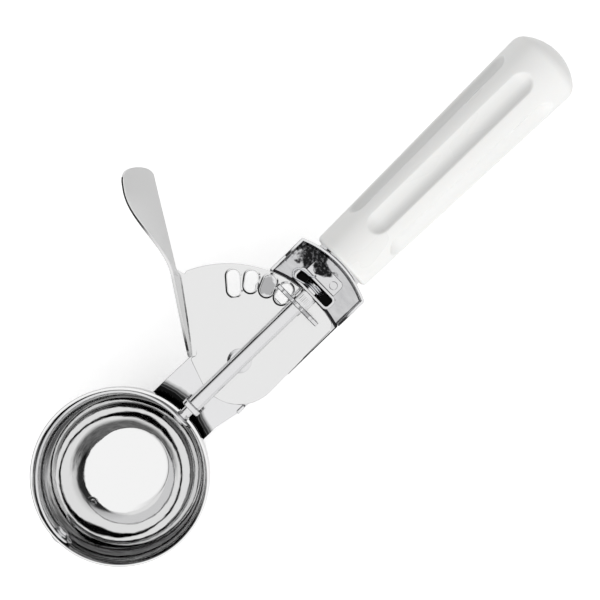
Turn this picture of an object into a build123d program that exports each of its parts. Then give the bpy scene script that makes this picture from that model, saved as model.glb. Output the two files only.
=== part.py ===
"""Lever ice cream scoop: a bowl on a pressed steel shank, with a thumb lever that turns a scraper.

Row frame, in millimetres: the origin is the centre of the bowl's rim plane, +X runs along the
shaft to the handle, +Y points to the side where the thumb lever stands at rest, and +Z points
out of the bowl's mouth.
"""
import math
import os

from build123d import *

CUT = 1.0  # how far a cutting shape runs past what it cuts

# ---- bowl
BOWL_R = 34.4  # outside radius
BOWL_WALL = 1.2
RIM_RISE = 4.0  # from the shaft's axis up to the rim
RIM_ROUND = 0.25
NOTCH_GAP = 0.3  # between the shaft's journal and the notch in the rim

# ---- shaft
SHAFT_D = 6.0
JOURNAL_D = 4.4  # the thinner front end that runs in the front bearing
RUNNING_GAP = 0.05  # radial gap of a shaft in its bearing
END_PLAY = 0.3  # free gap along the shaft at each thrust face
SLIDING_GAP = 0.2  # gap between flat faces that slide on each other
FACE_GAP = 0.1  # left where a flat face is set against a curved one
SHAFT_CHAMFER = 0.4
TENON_D = 3.2  # riveted end that holds the scraper
RIVET_HEAD_D = 5.4
RIVET_HEAD_T = 0.9

# ---- scraper
SCRAPER_GAP = 0.35  # between the scraper and the inside of the bowl
SCRAPER_T = 0.8
SCRAPER_W = 11.0
SCRAPER_REST = 12.6  # degrees that the scraper rests below the shaft's plane
SCRAPER_WASHER_T = 0.5
SCRAPER_WASHER_D = 6.6
FAR_PIN_D = 3.0

# ---- sector plate and pinion
PIVOT_FROM_BOWL = 28.6  # lever pivot, from the bowl's outside
MESH_R = 31.5  # from the pivot to the middle of the slots
SLOT_STEP = 12.5  # degrees between slots
SLOT_COUNT = 5
SLOT_W = 5.0
SLOT_L = 8.6
LAST_SLOT_EXTRA = 1.8  # the outermost slot is longer, inwards
TEETH = 8
PINION_T = 1.7
TOOTH_TIP_R = 10.9
TOOTH_TIP_W = 1.2
TOOTH_SHOULDER_R = 10.2
TOOTH_SHOULDER_W = 2.3
TOOTH_BASE_R = 6.4
TOOTH_BASE_W = 4.3
HUB_D = 8.4
HUB_L = 4.95
HUB_RIDGES = 18
HUB_RIDGE_R = 0.45
HUB_RIDGE_L = 2.6

PLATE_T = 1.2
PLATE_HUB_R = 17.2
PLATE_ARC_R = 47.2  # outer edge, struck from a point behind the pivot
PLATE_ARC_BACK = 9.5
PLATE_ARC_SIDE = -3.3
PLATE_SIDE_X = 35.2  # right-hand corner, from the pivot
PLATE_SIDE_Y = 16.3
PLATE_CORNER_ROUND = 1.6
PLATE_NOSE_Y = 2.6  # where the left edge leaves the hub's curve

# ---- thumb lever, bent up from the plate's left edge
FOLD_ANGLE = 55.0  # of the fold line at rest, from +X
FOLD_OFFSET = 18.5  # from the pivot to the fold line
FOLD_START = 4.5  # along the fold line, from the point nearest the pivot
FOLD_END = 36.6
FLANGE_LOW_H = 3.6  # height of the turned-up flange at its low end, over the plate's underside
FLANGE_HIGH_H = 9.2
PAD_LENGTH = 43.9  # from the end of the fold to the tip
PAD_RISE = 19.0  # height of the pad's upper edge at its widest
PAD_LEAN = 13.0  # how far the upper edge leans outwards
PAD_TIP_R = 8.7
PAD_FOOT_OUT = 2.8  # how far the lower edge drifts out and up by the tip
PAD_FOOT_UP = 3.0
PAD_RISE_SHARE = 0.7  # share of the pad's length over which it rises to full height
PAD_LEAN_SHARE = 0.8
PAD_STEPS = 12
FLANGE_LEAN = 0.8  # of the flange's top, at its high end

# ---- pivot rivet
PIVOT_D = 5.0
PIVOT_HEAD_D = 9.6
PIVOT_HEAD_T = 1.3
PIVOT_WASHER_D = 13.0
PIVOT_WASHER_T = 0.6
UNDER_HEAD_T = 0.9

# ---- shank: one pressed sheet from the bowl to the handle
SHANK_T = 1.2
SHANK_HALF_W = 17.2
TROUGH_ROOM = 0.8  # from the bracket's foot to the corners of the trough's end wall
TROUGH_BULGE = 3.8  # how far the end wall curves out towards the handle
WALL_TOP = 1.6  # top of the trough's walls, above the shaft's axis
LEFT_WALL_FRONT = 4.1  # how far each wall starts in front of the bracket
RIGHT_WALL_FRONT = 0.4
WALL_RELIEF_BACK = 1.8  # behind the bracket's face, where the left wall's cut for the plate ends
LEFT_STEP_FRONT = 12.4  # in front of the bracket, where the floor widens to its full width
RIGHT_STEP_BACK = 10.0  # behind the pivot
FLOOR_STEP_L = 3.0
NECK_LEFT_W = 14.9  # from the shaft to the neck's left edge, beside the bowl
NECK_RIGHT_W = 12.4
NECK_FROM_BOWL = 2.6
SHOULDER_HALF_W = 14.7
SHOULDER_FROM_BOWL = 15.6
NECK_BEND_R = 8.0
TONGUE_END = 58.0  # degrees below the shaft's plane where the welded tongue ends
TONGUE_UNDER = 14.9  # how far the tongue's tip reaches in under the bowl
TONGUE_ROUND = 6.6  # length of the tongue's rounded end
WINDOW_GAP = 3.4  # floor window, clear of the pinion's teeth
TAB_FROM_SHOULDER = 1.6  # small upright tab at the right-hand edge
TAB_L = 3.6
TAB_H = 4.4

# ---- front bearing
FRONT_BEARING_GAP = 2.5  # from the bowl's outside
FRONT_BEARING_T = 2.0
FRONT_BEARING_W = 8.0
FRONT_BEARING_CROWN = 1.6

# ---- rear bearing bracket
BRACKET_T = 1.1
BRACKET_L = 6.0
BRACKET_W = 19.0
BRACKET_CROWN = 1.3
BRACKET_ROUND = 2.2
BRACKET_FOOT_L = 6.6
BRACKET_FOOT_W = 15.0
PLATE_CLEAR = 0.5  # gap over the plate where it sweeps under the bracket and the wall
BRACKET_RIVET_D = 3.0
BRACKET_RIVET_HEAD_D = 5.0
BRACKET_RIVET_HEAD_T = 0.9
BRACKET_RIVET_PITCH = 9.0

# ---- return spring, a torsion coil round the shaft's end
WIRE_D = 0.8
SPRING_GAP = 0.4  # between the coil and the shaft
SPRING_TURNS = 2.75
SPRING_PITCH = 0.86
SPRING_HOOK = 3.4

# ---- handle
HANDLE_DROP = 4.0  # handle's axis below the shaft's axis
NECK_WASHER_T = 1.2
NECK_WASHER_D = 21.0
HANDLE_NECK_D = 25.6
HANDLE_WIDE_D = 31.2
HANDLE_L = 115.7
HANDLE_DOME_L = 7.0
HANDLE_CORNER_R = 5.0
HANDLE_EDGE = 1.0
FLUTE_COUNT = 6
FLUTE_TURN = 6.0  # degrees that the top flute lies towards +Y
FLUTE_CUTTER_R = 15.0
FLUTE_DEPTH = 2.0
FLUTE_START = 22.5  # from the neck face to the flute's first round centre
FLUTE_L = 72.0
TANG_D = 8.0
TANG_L = 78.0  # inside the handle
TANG_PIN_D = 3.0
TANG_PIN_L = 14.0
TANG_PIN_FIRST = 26.0
TANG_PIN_STEP = 32.0

# ---- sizes that follow from the ones above
BOWL_IN = BOWL_R - BOWL_WALL
SHAFT_Z = -RIM_RISE
PIVOT_X = BOWL_R + PIVOT_FROM_BOWL
FRONT_BEARING_X = BOWL_R + FRONT_BEARING_GAP
NECK_X = BOWL_R + NECK_FROM_BOWL
SHOULDER_X = BOWL_R + SHOULDER_FROM_BOWL
TAB_X = SHOULDER_X - TAB_FROM_SHOULDER
TONGUE_TIP_X = BOWL_R - TONGUE_UNDER
RATIO = 360.0 / TEETH / SLOT_STEP
MESH_DEPTH = MESH_R / RATIO
PINION_X = PIVOT_X + MESH_R
BRACKET_X = PINION_X + PINION_T / 2 + HUB_L + END_PLAY
LEFT_WALL_X = BRACKET_X - LEFT_WALL_FRONT
RIGHT_WALL_X = BRACKET_X - RIGHT_WALL_FRONT
WALL_RELIEF_X = BRACKET_X + WALL_RELIEF_BACK
LEFT_STEP_X = BRACKET_X - LEFT_STEP_FRONT
RIGHT_STEP_X = PIVOT_X + RIGHT_STEP_BACK
PLATE_LOW = SHAFT_Z - MESH_DEPTH - PLATE_T / 2
PLATE_TOP = PLATE_LOW + PLATE_T
FLOOR_TOP = PLATE_LOW - SLIDING_GAP - PIVOT_WASHER_T
FLOOR_LOW = FLOOR_TOP - SHANK_T
WALL_Z = SHAFT_Z + WALL_TOP
SCRAPER_OUT = BOWL_IN - SCRAPER_GAP
SCRAPER_IN = SCRAPER_OUT - SCRAPER_T
FRONT_BEARING_BACK = FRONT_BEARING_X + FRONT_BEARING_T
SHAFT_STEP_X = FRONT_BEARING_BACK + END_PLAY
BRACKET_BACK = BRACKET_X + BRACKET_L
BRACKET_LOW = PLATE_TOP + PLATE_CLEAR
BRACKET_TOP = SHAFT_Z + SHAFT_D / 2 + BRACKET_CROWN
SHAFT_END_X = BRACKET_BACK - BRACKET_T - END_PLAY
TROUGH_END_X = BRACKET_BACK + BRACKET_FOOT_L + TROUGH_ROOM
WINDOW_FRONT = PINION_X - PINION_T / 2 - WINDOW_GAP
WINDOW_BACK = PINION_X + PINION_T / 2 + WINDOW_GAP
WINDOW_HALF_W = TOOTH_TIP_R - TOOTH_TIP_W / 2
TROUGH_BACK = TROUGH_END_X + TROUGH_BULGE
HANDLE_Z = SHAFT_Z - HANDLE_DROP
HANDLE_X = TROUGH_BACK + NECK_WASHER_T
HANDLE_TIP_X = HANDLE_X + HANDLE_L
HANDLE_WIDE_X = HANDLE_TIP_X - HANDLE_DOME_L
COIL_R = SHAFT_D / 2 + SPRING_GAP + WIRE_D / 2
COIL_X = BRACKET_X + BRACKET_T + END_PLAY + WIRE_D / 2
LEG_X = COIL_X + SPRING_TURNS * SPRING_PITCH

ALONG = (Align.CENTER, Align.CENTER, Align.MIN)


def rod(x_from, x_to, diameter, y=0.0, z=SHAFT_Z, mode=Mode.ADD):
    """A round bar along +X between two stations."""
    with Locations(Location((x_from, y, z), (0, 90, 0))):
        Cylinder(diameter / 2, x_to - x_from, align=ALONG, mode=mode)


def block(x, y, z, mode=Mode.ADD):
    """A box given by its lowest and highest value along each axis."""
    middle = ((x[0] + x[1]) / 2, (y[0] + y[1]) / 2, (z[0] + z[1]) / 2)
    with Locations(middle):
        Box(x[1] - x[0], y[1] - y[0], z[1] - z[0], mode=mode)


def upright(diameter, z_from, z_to, x, y=0.0, mode=Mode.ADD):
    """A round pin along +Z between two heights."""
    with Locations((x, y, z_from)):
        Cylinder(diameter / 2, z_to - z_from, align=ALONG, mode=mode)


# ==== bowl: a half ball with a short straight rim, notched for the shaft
with BuildPart() as bowl:
    with BuildSketch(Plane.XZ):
        with BuildLine():
            Line((BOWL_IN, 0), (BOWL_R, 0))
            Line((BOWL_R, 0), (BOWL_R, SHAFT_Z))
            CenterArc((0, SHAFT_Z), BOWL_R, 0, -90)
            Line((0, SHAFT_Z - BOWL_R), (0, SHAFT_Z - BOWL_IN))
            CenterArc((0, SHAFT_Z), BOWL_IN, -90, 90)
            Line((BOWL_IN, SHAFT_Z), (BOWL_IN, 0))
        make_face()
    revolve(axis=Axis.Z)
    fillet(bowl.edges().group_by(Axis.Z)[-1], RIM_ROUND)
    # open notch in the rim, where the shaft passes
    with BuildSketch(Plane.YZ.offset(BOWL_IN - 4 * CUT)):
        with Locations((0, SHAFT_Z)):
            Circle(JOURNAL_D / 2 + NOTCH_GAP)
            Rectangle(JOURNAL_D + 2 * NOTCH_GAP, RIM_RISE + CUT, align=(Align.CENTER, Align.MIN))
    extrude(amount=BOWL_WALL + 5 * CUT, mode=Mode.SUBTRACT)
    # hole for the far pivot pin
    rod(-BOWL_R - CUT, -BOWL_IN + 2 * CUT, FAR_PIN_D, mode=Mode.SUBTRACT)
bowl.part.label = "bowl"

# ==== shank neck: level sheet, bend and welded tongue, all turned about the bowl's axis
bend_z = (FLOOR_TOP + FLOOR_LOW) / 2 - NECK_BEND_R
bend_x = math.sqrt((BOWL_R + SHANK_T / 2 + NECK_BEND_R) ** 2 - (SHAFT_Z - bend_z) ** 2)
tangent = math.degrees(math.atan2(SHAFT_Z - bend_z, bend_x))
bend_turn = 90 - tangent
neck_end = bend_x + 2 * NECK_BEND_R
tongue = TONGUE_END - tangent
bend_out = NECK_BEND_R + SHANK_T / 2
bend_in = NECK_BEND_R - SHANK_T / 2
tongue_r = BOWL_R + SHANK_T
tongue_x = TONGUE_TIP_X + TONGUE_ROUND


def polar(centre, radius, angle):
    """A point at a radius and an angle, in degrees, from a centre."""
    turn = math.radians(angle)
    return (centre[0] + radius * math.cos(turn), centre[1] + radius * math.sin(turn))


with BuildPart() as neck:
    with BuildSketch(Plane.XZ):
        with BuildLine():
            Line((neck_end, FLOOR_TOP), (bend_x, FLOOR_TOP))
            CenterArc((bend_x, bend_z), bend_out, 90, bend_turn)
            CenterArc((0, SHAFT_Z), BOWL_R, -tangent, -tongue)
            Line(polar((0, SHAFT_Z), BOWL_R, -TONGUE_END), polar((0, SHAFT_Z), tongue_r, -TONGUE_END))
            CenterArc((0, SHAFT_Z), tongue_r, -TONGUE_END, tongue)
            CenterArc((bend_x, bend_z), bend_in, 90 + bend_turn, -bend_turn)
            Line((bend_x, FLOOR_LOW), (neck_end, FLOOR_LOW))
            Line((neck_end, FLOOR_LOW), (neck_end, FLOOR_TOP))
        make_face()
    revolve(axis=Axis.Z)
    with BuildSketch(Plane.XY.offset(SHAFT_Z - 2 * BOWL_R)):
        with BuildLine():
            Line((SHOULDER_X, SHOULDER_HALF_W), (NECK_X, NECK_LEFT_W))
            Line((NECK_X, NECK_LEFT_W), (tongue_x, NECK_LEFT_W))
            ThreePointArc((tongue_x, NECK_LEFT_W), (TONGUE_TIP_X, 0), (tongue_x, -NECK_RIGHT_W))
            Line((tongue_x, -NECK_RIGHT_W), (NECK_X, -NECK_RIGHT_W))
            Line((NECK_X, -NECK_RIGHT_W), (SHOULDER_X, -SHOULDER_HALF_W))
            Line((SHOULDER_X, -SHOULDER_HALF_W), (SHOULDER_X, SHOULDER_HALF_W))
        make_face()
    extrude(amount=3 * BOWL_R, mode=Mode.INTERSECT)

# ==== shank: floor, walls and curved end of the trough, joined to the neck
SHANK_EDGE = [
    (TROUGH_END_X, SHANK_HALF_W),
    (LEFT_STEP_X, SHANK_HALF_W),
    (LEFT_STEP_X - FLOOR_STEP_L, SHOULDER_HALF_W),
    (SHOULDER_X - 2 * CUT, SHOULDER_HALF_W),
    (SHOULDER_X - 2 * CUT, -SHOULDER_HALF_W),
    (RIGHT_STEP_X - FLOOR_STEP_L, -SHOULDER_HALF_W),
    (RIGHT_STEP_X, -SHANK_HALF_W),
    (TROUGH_END_X, -SHANK_HALF_W),
]

with BuildSketch() as trough_plan:
    with BuildLine():
        Polyline(*SHANK_EDGE)
        ThreePointArc(SHANK_EDGE[-1], (TROUGH_BACK, 0), SHANK_EDGE[0])
    make_face()

with BuildPart() as shank:
    with BuildSketch(Plane.XY.offset(FLOOR_LOW)):
        add(trough_plan.sketch)
    extrude(amount=WALL_Z - FLOOR_LOW)
    with BuildSketch(Plane.XY.offset(FLOOR_TOP)):
        add(trough_plan.sketch)
        offset(amount=-SHANK_T, kind=Kind.INTERSECTION, mode=Mode.REPLACE)
    extrude(amount=WALL_Z - FLOOR_TOP + CUT, mode=Mode.SUBTRACT)
    high = (FLOOR_TOP, WALL_Z + CUT)
    outside = SHANK_HALF_W + CUT
    # the walls stand at the handle's end only
    block((SHOULDER_X - 3 * CUT, LEFT_WALL_X), (0, outside), high, Mode.SUBTRACT)
    tab_right = SHOULDER_HALF_W - SHANK_T - CUT
    block((SHOULDER_X - 3 * CUT, RIGHT_WALL_X), (-tab_right, 0), high, Mode.SUBTRACT)
    block((TAB_X + TAB_L, RIGHT_WALL_X), (-outside, 0), high, Mode.SUBTRACT)
    tab_top = FLOOR_TOP + TAB_H
    block((SHOULDER_X - 3 * CUT, RIGHT_WALL_X), (-outside, 0), (tab_top, WALL_Z + CUT), Mode.SUBTRACT)
    # the left wall is cut away low down, where the sector plate sweeps through
    relief_y = (SHANK_HALF_W - SHANK_T - CUT, outside)
    relief_z = (FLOOR_TOP, PLATE_TOP + PLATE_CLEAR)
    block((LEFT_WALL_X - CUT, WALL_RELIEF_X), relief_y, relief_z, Mode.SUBTRACT)
    add(neck.part)
    # window under the pinion, and holes for the rivets
    window = (FLOOR_LOW - CUT, FLOOR_TOP + CUT)
    block((WINDOW_FRONT, WINDOW_BACK), (-WINDOW_HALF_W, WINDOW_HALF_W), window, Mode.SUBTRACT)
    upright(PIVOT_D, window[0], window[1], PIVOT_X, mode=Mode.SUBTRACT)
    for side in (-1, 1):
        hole_y = side * BRACKET_RIVET_PITCH / 2
        hole_x = BRACKET_BACK + BRACKET_FOOT_L / 2
        upright(BRACKET_RIVET_D, window[0], window[1], hole_x, hole_y, Mode.SUBTRACT)
shank.part.label = "shank"

# ==== front bearing: a small plate on the neck's bend, just behind the bowl
crown_z = SHAFT_Z + JOURNAL_D / 2 + FRONT_BEARING_CROWN
bearing_inset = max(0, bend_x - FRONT_BEARING_X - FRONT_BEARING_T / 2)
bearing_low = bend_z + math.sqrt(NECK_BEND_R**2 - bearing_inset**2)
with BuildPart() as front_bearing:
    with BuildSketch(Plane.YZ.offset(FRONT_BEARING_X)) as bearing_face:
        with Locations((0, bearing_low)):
            Rectangle(FRONT_BEARING_W, crown_z - bearing_low, align=(Align.CENTER, Align.MIN))
        fillet(bearing_face.vertices().group_by(Axis.Y)[-1], FRONT_BEARING_W / 2 - CUT)
    extrude(amount=FRONT_BEARING_T)
    rod(
        FRONT_BEARING_X - CUT,
        FRONT_BEARING_BACK + CUT,
        JOURNAL_D + 2 * RUNNING_GAP,
        mode=Mode.SUBTRACT,
    )
    add(shank.part, mode=Mode.SUBTRACT)
front_bearing.part.label = "front_bearing"

# ==== rear bearing bracket: a pressed cage round the shaft's end, with a foot on the floor
foot_end = BRACKET_BACK + BRACKET_FOOT_L
rivet_x = BRACKET_BACK + BRACKET_FOOT_L / 2
rivet_ys = (-BRACKET_RIVET_PITCH / 2, BRACKET_RIVET_PITCH / 2)
with BuildPart() as bearing_bracket:
    with BuildSketch(Plane.XY.offset(BRACKET_LOW)) as cage:
        with Locations((BRACKET_X + BRACKET_L / 2, 0)):
            RectangleRounded(BRACKET_L, BRACKET_W, BRACKET_ROUND)
        offset(amount=-BRACKET_T, mode=Mode.SUBTRACT)
    extrude(amount=BRACKET_TOP - BRACKET_LOW)
    half_foot = BRACKET_FOOT_W / 2
    back_wall = (BRACKET_BACK - BRACKET_T, BRACKET_BACK)
    block(back_wall, (-half_foot, half_foot), (FLOOR_TOP, BRACKET_LOW + CUT))
    foot = (BRACKET_BACK - BRACKET_T, foot_end)
    block(foot, (-half_foot, half_foot), (FLOOR_TOP, FLOOR_TOP + BRACKET_T))
    bore = SHAFT_D + 2 * RUNNING_GAP
    rod(BRACKET_X - CUT, BRACKET_X + BRACKET_T + CUT, bore, mode=Mode.SUBTRACT)
    for rivet_y in rivet_ys:
        upright(BRACKET_RIVET_D, FLOOR_LOW, BRACKET_LOW, rivet_x, rivet_y, Mode.SUBTRACT)
bearing_bracket.part.label = "bearing_bracket"

with BuildPart() as bracket_rivets:
    for rivet_y in rivet_ys:
        # headed under the floor, and ground flush on the bracket's foot
        under_low = FLOOR_LOW - BRACKET_RIVET_HEAD_T
        upright(BRACKET_RIVET_D, FLOOR_LOW, FLOOR_TOP + BRACKET_T, rivet_x, rivet_y)
        upright(BRACKET_RIVET_HEAD_D, under_low, FLOOR_LOW, rivet_x, rivet_y)
    fillet(bracket_rivets.edges().group_by(Axis.Z)[0], BRACKET_RIVET_HEAD_T * 0.6)
bracket_rivets.part.label = "bracket_rivets"

# ==== pivot: washer on the floor, and the rivet that the sector plate turns on
with BuildPart() as pivot_washer:
    upright(PIVOT_WASHER_D, FLOOR_TOP, FLOOR_TOP + PIVOT_WASHER_T, PIVOT_X)
    upright(PIVOT_D, FLOOR_TOP - CUT, PLATE_LOW, PIVOT_X, mode=Mode.SUBTRACT)
pivot_washer.part.label = "pivot_washer"

with BuildPart() as pivot_rivet:
    head_low = PLATE_TOP + SLIDING_GAP
    upright(PIVOT_D, FLOOR_LOW, head_low, PIVOT_X)
    upright(PIVOT_HEAD_D, head_low, head_low + PIVOT_HEAD_T, PIVOT_X)
    upright(PIVOT_HEAD_D, FLOOR_LOW - UNDER_HEAD_T, FLOOR_LOW, PIVOT_X)
    fillet(pivot_rivet.edges().group_by(Axis.Z)[-1], PIVOT_HEAD_T * 0.6)
    fillet(pivot_rivet.edges().group_by(Axis.Z)[0], UNDER_HEAD_T * 0.6)
pivot_rivet.part.label = "pivot_rivet"

# ==== thumb lever: sector plate with slots, turned-up flange and thumb pad in one pressing
fold = math.radians(FOLD_ANGLE)
ALONG_FOLD = (math.cos(fold), math.sin(fold))
OUT_OF_FOLD = (-math.sin(fold), math.cos(fold))


def beside_fold(along, out):
    """A point seen from above, from its place along the fold line and out from the pivot."""
    return (
        PIVOT_X + along * ALONG_FOLD[0] + out * OUT_OF_FOLD[0],
        along * ALONG_FOLD[1] + out * OUT_OF_FOLD[1],
    )


def on_plate_arc(y):
    """The point of the plate's outer arc at a given Y."""
    return (arc_centre[0] + math.sqrt(PLATE_ARC_R**2 - (y - arc_centre[1]) ** 2), y)


nose = (PIVOT_X - math.sqrt(PLATE_HUB_R**2 - PLATE_NOSE_Y**2), PLATE_NOSE_Y)
arc_centre = (PIVOT_X - PLATE_ARC_BACK, PLATE_ARC_SIDE)
fold_low = beside_fold(FOLD_START, FOLD_OFFSET + PLATE_T / 2)
fold_high = beside_fold(FOLD_END, FOLD_OFFSET + PLATE_T / 2)
fold_high_edge = on_plate_arc(beside_fold(FOLD_END, FOLD_OFFSET)[1])
plate_arc_mid = on_plate_arc(fold_high_edge[1] / 2)
arc_right = on_plate_arc(-PLATE_SIDE_Y + PLATE_CORNER_ROUND)
corner_side = (PIVOT_X + PLATE_SIDE_X, -PLATE_SIDE_Y)


def ease(share):
    """A smooth step from 0 to 1, level at both ends."""
    share = min(1.0, max(0.0, share))
    return share * share * (3 - 2 * share)


def flange_section(along):
    """Place, foot and top of the flange or pad at one station along the fold."""
    if along <= FOLD_END:
        share = (along - FOLD_START) / (FOLD_END - FOLD_START)
        top_up = FLANGE_LOW_H + (FLANGE_HIGH_H - FLANGE_LOW_H) * share
        return (along, 0.0, 0.0, top_up, FLANGE_LEAN * share)
    share = (along - FOLD_END) / PAD_LENGTH
    foot_out = PAD_FOOT_OUT * share
    foot_up = PAD_FOOT_UP * share**2
    top_up = FLANGE_HIGH_H + (PAD_RISE - FLANGE_HIGH_H) * ease(share / PAD_RISE_SHARE)
    top_out = FLANGE_LEAN + (PAD_LEAN - FLANGE_LEAN) * ease(share / PAD_LEAN_SHARE)
    return (along, foot_out, foot_up, top_up, top_out)


stations = [FOLD_START, FOLD_END]
stations += [FOLD_END + (PAD_LENGTH + CUT) * (step + 1) / PAD_STEPS for step in range(PAD_STEPS)]
PAD_SECTIONS = [flange_section(along) for along in stations]


def pad_section(along, foot_out, foot_up, top_up, top_out):
    """One cross-section of the flange or pad: a thin slanting strip, square to the fold line."""
    base = beside_fold(along, 0)
    across = Plane(origin=(*base, 0), x_dir=(*OUT_OF_FOLD, 0), z_dir=(*ALONG_FOLD, 0))
    foot_at = Vector(FOLD_OFFSET + foot_out, PLATE_LOW + foot_up)
    top_at = Vector(FOLD_OFFSET + top_out, PLATE_LOW + top_up)
    rise = (top_at - foot_at).normalized()
    side = Vector(rise.Y, -rise.X) * PLATE_T
    if side.X < 0:
        side = side * -1
    with BuildSketch(across) as strip:
        Polygon(foot_at, top_at, top_at + side, foot_at + side, align=None)
    return strip.sketch


# the pad's outline seen square to the fold line, with its round tip
tip_along = FOLD_END + PAD_LENGTH - PAD_TIP_R
tip_z = PLATE_LOW + PAD_RISE - PAD_TIP_R
beyond = FOLD_OFFSET + 2 * PAD_LEAN
side_view = Plane(
    origin=(*beside_fold(0, beyond), 0),
    x_dir=(*ALONG_FOLD, 0),
    z_dir=(-OUT_OF_FOLD[0], -OUT_OF_FOLD[1], 0),
)
with BuildPart() as pad:
    loft(sections=[pad_section(*section) for section in PAD_SECTIONS], ruled=True)
    with BuildSketch(side_view):
        with Locations((FOLD_START - CUT, PLATE_LOW - CUT)):
            Rectangle(
                tip_along - FOLD_START + CUT,
                PAD_RISE + 3 * CUT,
                align=(Align.MIN, Align.MIN),
            )
        with Locations((tip_along, tip_z)):
            Circle(PAD_TIP_R)
    extrude(amount=beyond, mode=Mode.INTERSECT)

with BuildPart() as thumb_lever:
    with BuildSketch(Plane.XY.offset(PLATE_LOW)) as plate_plan:
        with BuildLine():
            ThreePointArc(fold_high_edge, plate_arc_mid, arc_right)
            Line(arc_right, corner_side)
            Line(corner_side, (PIVOT_X, -PLATE_HUB_R))
            ThreePointArc((PIVOT_X, -PLATE_HUB_R), (PIVOT_X - PLATE_HUB_R, 0), nose)
            Line(nose, fold_low)
            Line(fold_low, fold_high)
            Line(fold_high, fold_high_edge)
        make_face()
        fillet(plate_plan.vertices().group_by(Axis.X)[-1], PLATE_CORNER_ROUND)
        with Locations((PIVOT_X, 0)):
            Circle(PIVOT_D / 2 + RUNNING_GAP, mode=Mode.SUBTRACT)
        for slot in range(SLOT_COUNT):
            extra = LAST_SLOT_EXTRA if slot == SLOT_COUNT - 1 else 0.0
            at = polar((PIVOT_X, 0), MESH_R - extra / 2, slot * SLOT_STEP)
            with Locations(Location((*at, 0), (0, 0, slot * SLOT_STEP))):
                SlotOverall(SLOT_L + extra, SLOT_W, mode=Mode.SUBTRACT)
    extrude(amount=PLATE_T)
    add(pad.part)
thumb_lever.part.label = "thumb_lever"

# ==== the washers at the scraper's two ends lie just inside its round inner face
washer_seat = math.sqrt(SCRAPER_IN**2 - (SCRAPER_WASHER_D / 2) ** 2)
near_washer_out = washer_seat - FACE_GAP / 2
near_head_out = near_washer_out - SCRAPER_WASHER_T
far_washer_out = washer_seat - END_PLAY
far_head_out = far_washer_out - SCRAPER_WASHER_T

# ==== shaft: thick in the shank, thin in the front bearing, riveted to the scraper in the bowl
with BuildPart() as shaft:
    rod(SHAFT_STEP_X, SHAFT_END_X, SHAFT_D)
    rod(SCRAPER_OUT, SHAFT_STEP_X, JOURNAL_D)
    rod(near_head_out, SCRAPER_OUT, TENON_D)
    rod(near_head_out - RIVET_HEAD_T, near_head_out, RIVET_HEAD_D)
    fillet(shaft.edges().group_by(Axis.X)[0], RIVET_HEAD_T * 0.6)
    chamfer(shaft.edges().group_by(Axis.X)[-1], SHAFT_CHAMFER)
    # cross slot that holds the spring's inner leg
    slot_half = WIRE_D / 2 + FACE_GAP
    slot_x = (LEG_X - slot_half, SHAFT_END_X + CUT)
    slot_z = (SHAFT_Z, SHAFT_Z + SHAFT_D)
    block(slot_x, (-slot_half, slot_half), slot_z, Mode.SUBTRACT)
shaft.part.label = "shaft"

# ==== pinion: a thin star wheel square to the shaft, with a ridged hub behind it
tooth_half = [
    (TOOTH_BASE_W / 2, TOOTH_BASE_R - CUT),
    (TOOTH_BASE_W / 2, TOOTH_BASE_R),
    (TOOTH_SHOULDER_W / 2, TOOTH_SHOULDER_R),
    (TOOTH_TIP_W / 2, TOOTH_TIP_R),
]
tooth_outline = [(-x, y) for x, y in tooth_half] + [(x, y) for x, y in reversed(tooth_half)]
with BuildPart() as pinion:
    with BuildSketch(Plane.YZ.offset(PINION_X - PINION_T / 2)):
        with Locations((0, SHAFT_Z)):
            Circle(TOOTH_BASE_R)
        with Locations((0, SHAFT_Z)):
            with PolarLocations(0, TEETH):
                Polygon(*tooth_outline, align=None)
        with Locations((0, SHAFT_Z)):
            Circle(SHAFT_D / 2, mode=Mode.SUBTRACT)
    extrude(amount=PINION_T)
pinion.part.label = "pinion"

hub_x = PINION_X + PINION_T / 2
hub_end = BRACKET_X - END_PLAY
with BuildPart() as pinion_hub:
    rod(hub_x, hub_end, HUB_D)
    rod(hub_x - CUT, hub_end + CUT, SHAFT_D, mode=Mode.SUBTRACT)
    ridge_x = (hub_x + hub_end - HUB_RIDGE_L) / 2
    with Locations(Location((ridge_x, 0, SHAFT_Z), (0, 90, 0))):
        with PolarLocations(HUB_D / 2 + HUB_RIDGE_R / 3, HUB_RIDGES):
            Cylinder(HUB_RIDGE_R, HUB_RIDGE_L, align=ALONG, mode=Mode.SUBTRACT)
pinion_hub.part.label = "pinion_hub"

# ==== scraper: a strip bent to the bowl's inside, pinned at both ends
with BuildPart() as strip_form:
    with Locations((0, 0, -SCRAPER_OUT)):
        Box(2 * BOWL_R, SCRAPER_W, 2 * SCRAPER_OUT)
    Cylinder(SCRAPER_W / 2, 2 * BOWL_R, rotation=(0, 90, 0))

with BuildPart() as scraper:
    Sphere(SCRAPER_OUT)
    Sphere(SCRAPER_IN, mode=Mode.SUBTRACT)
    add(strip_form.part, mode=Mode.INTERSECT)
    Cylinder(TENON_D / 2, BOWL_R, rotation=(0, 90, 0), align=ALONG, mode=Mode.SUBTRACT)
    far_bore = FAR_PIN_D / 2 + RUNNING_GAP
    Cylinder(far_bore, BOWL_R, rotation=(0, -90, 0), align=ALONG, mode=Mode.SUBTRACT)
to_rest = Location((0, 0, SHAFT_Z), (90 - SCRAPER_REST, 0, 0))
scraper_at_rest = scraper.part.moved(to_rest)
scraper_at_rest.label = "scraper"

with BuildPart() as scraper_washer:
    rod(near_head_out, near_washer_out, SCRAPER_WASHER_D)
    rod(near_head_out - CUT, near_washer_out + CUT, TENON_D, mode=Mode.SUBTRACT)
scraper_washer.part.label = "scraper_washer"

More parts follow.
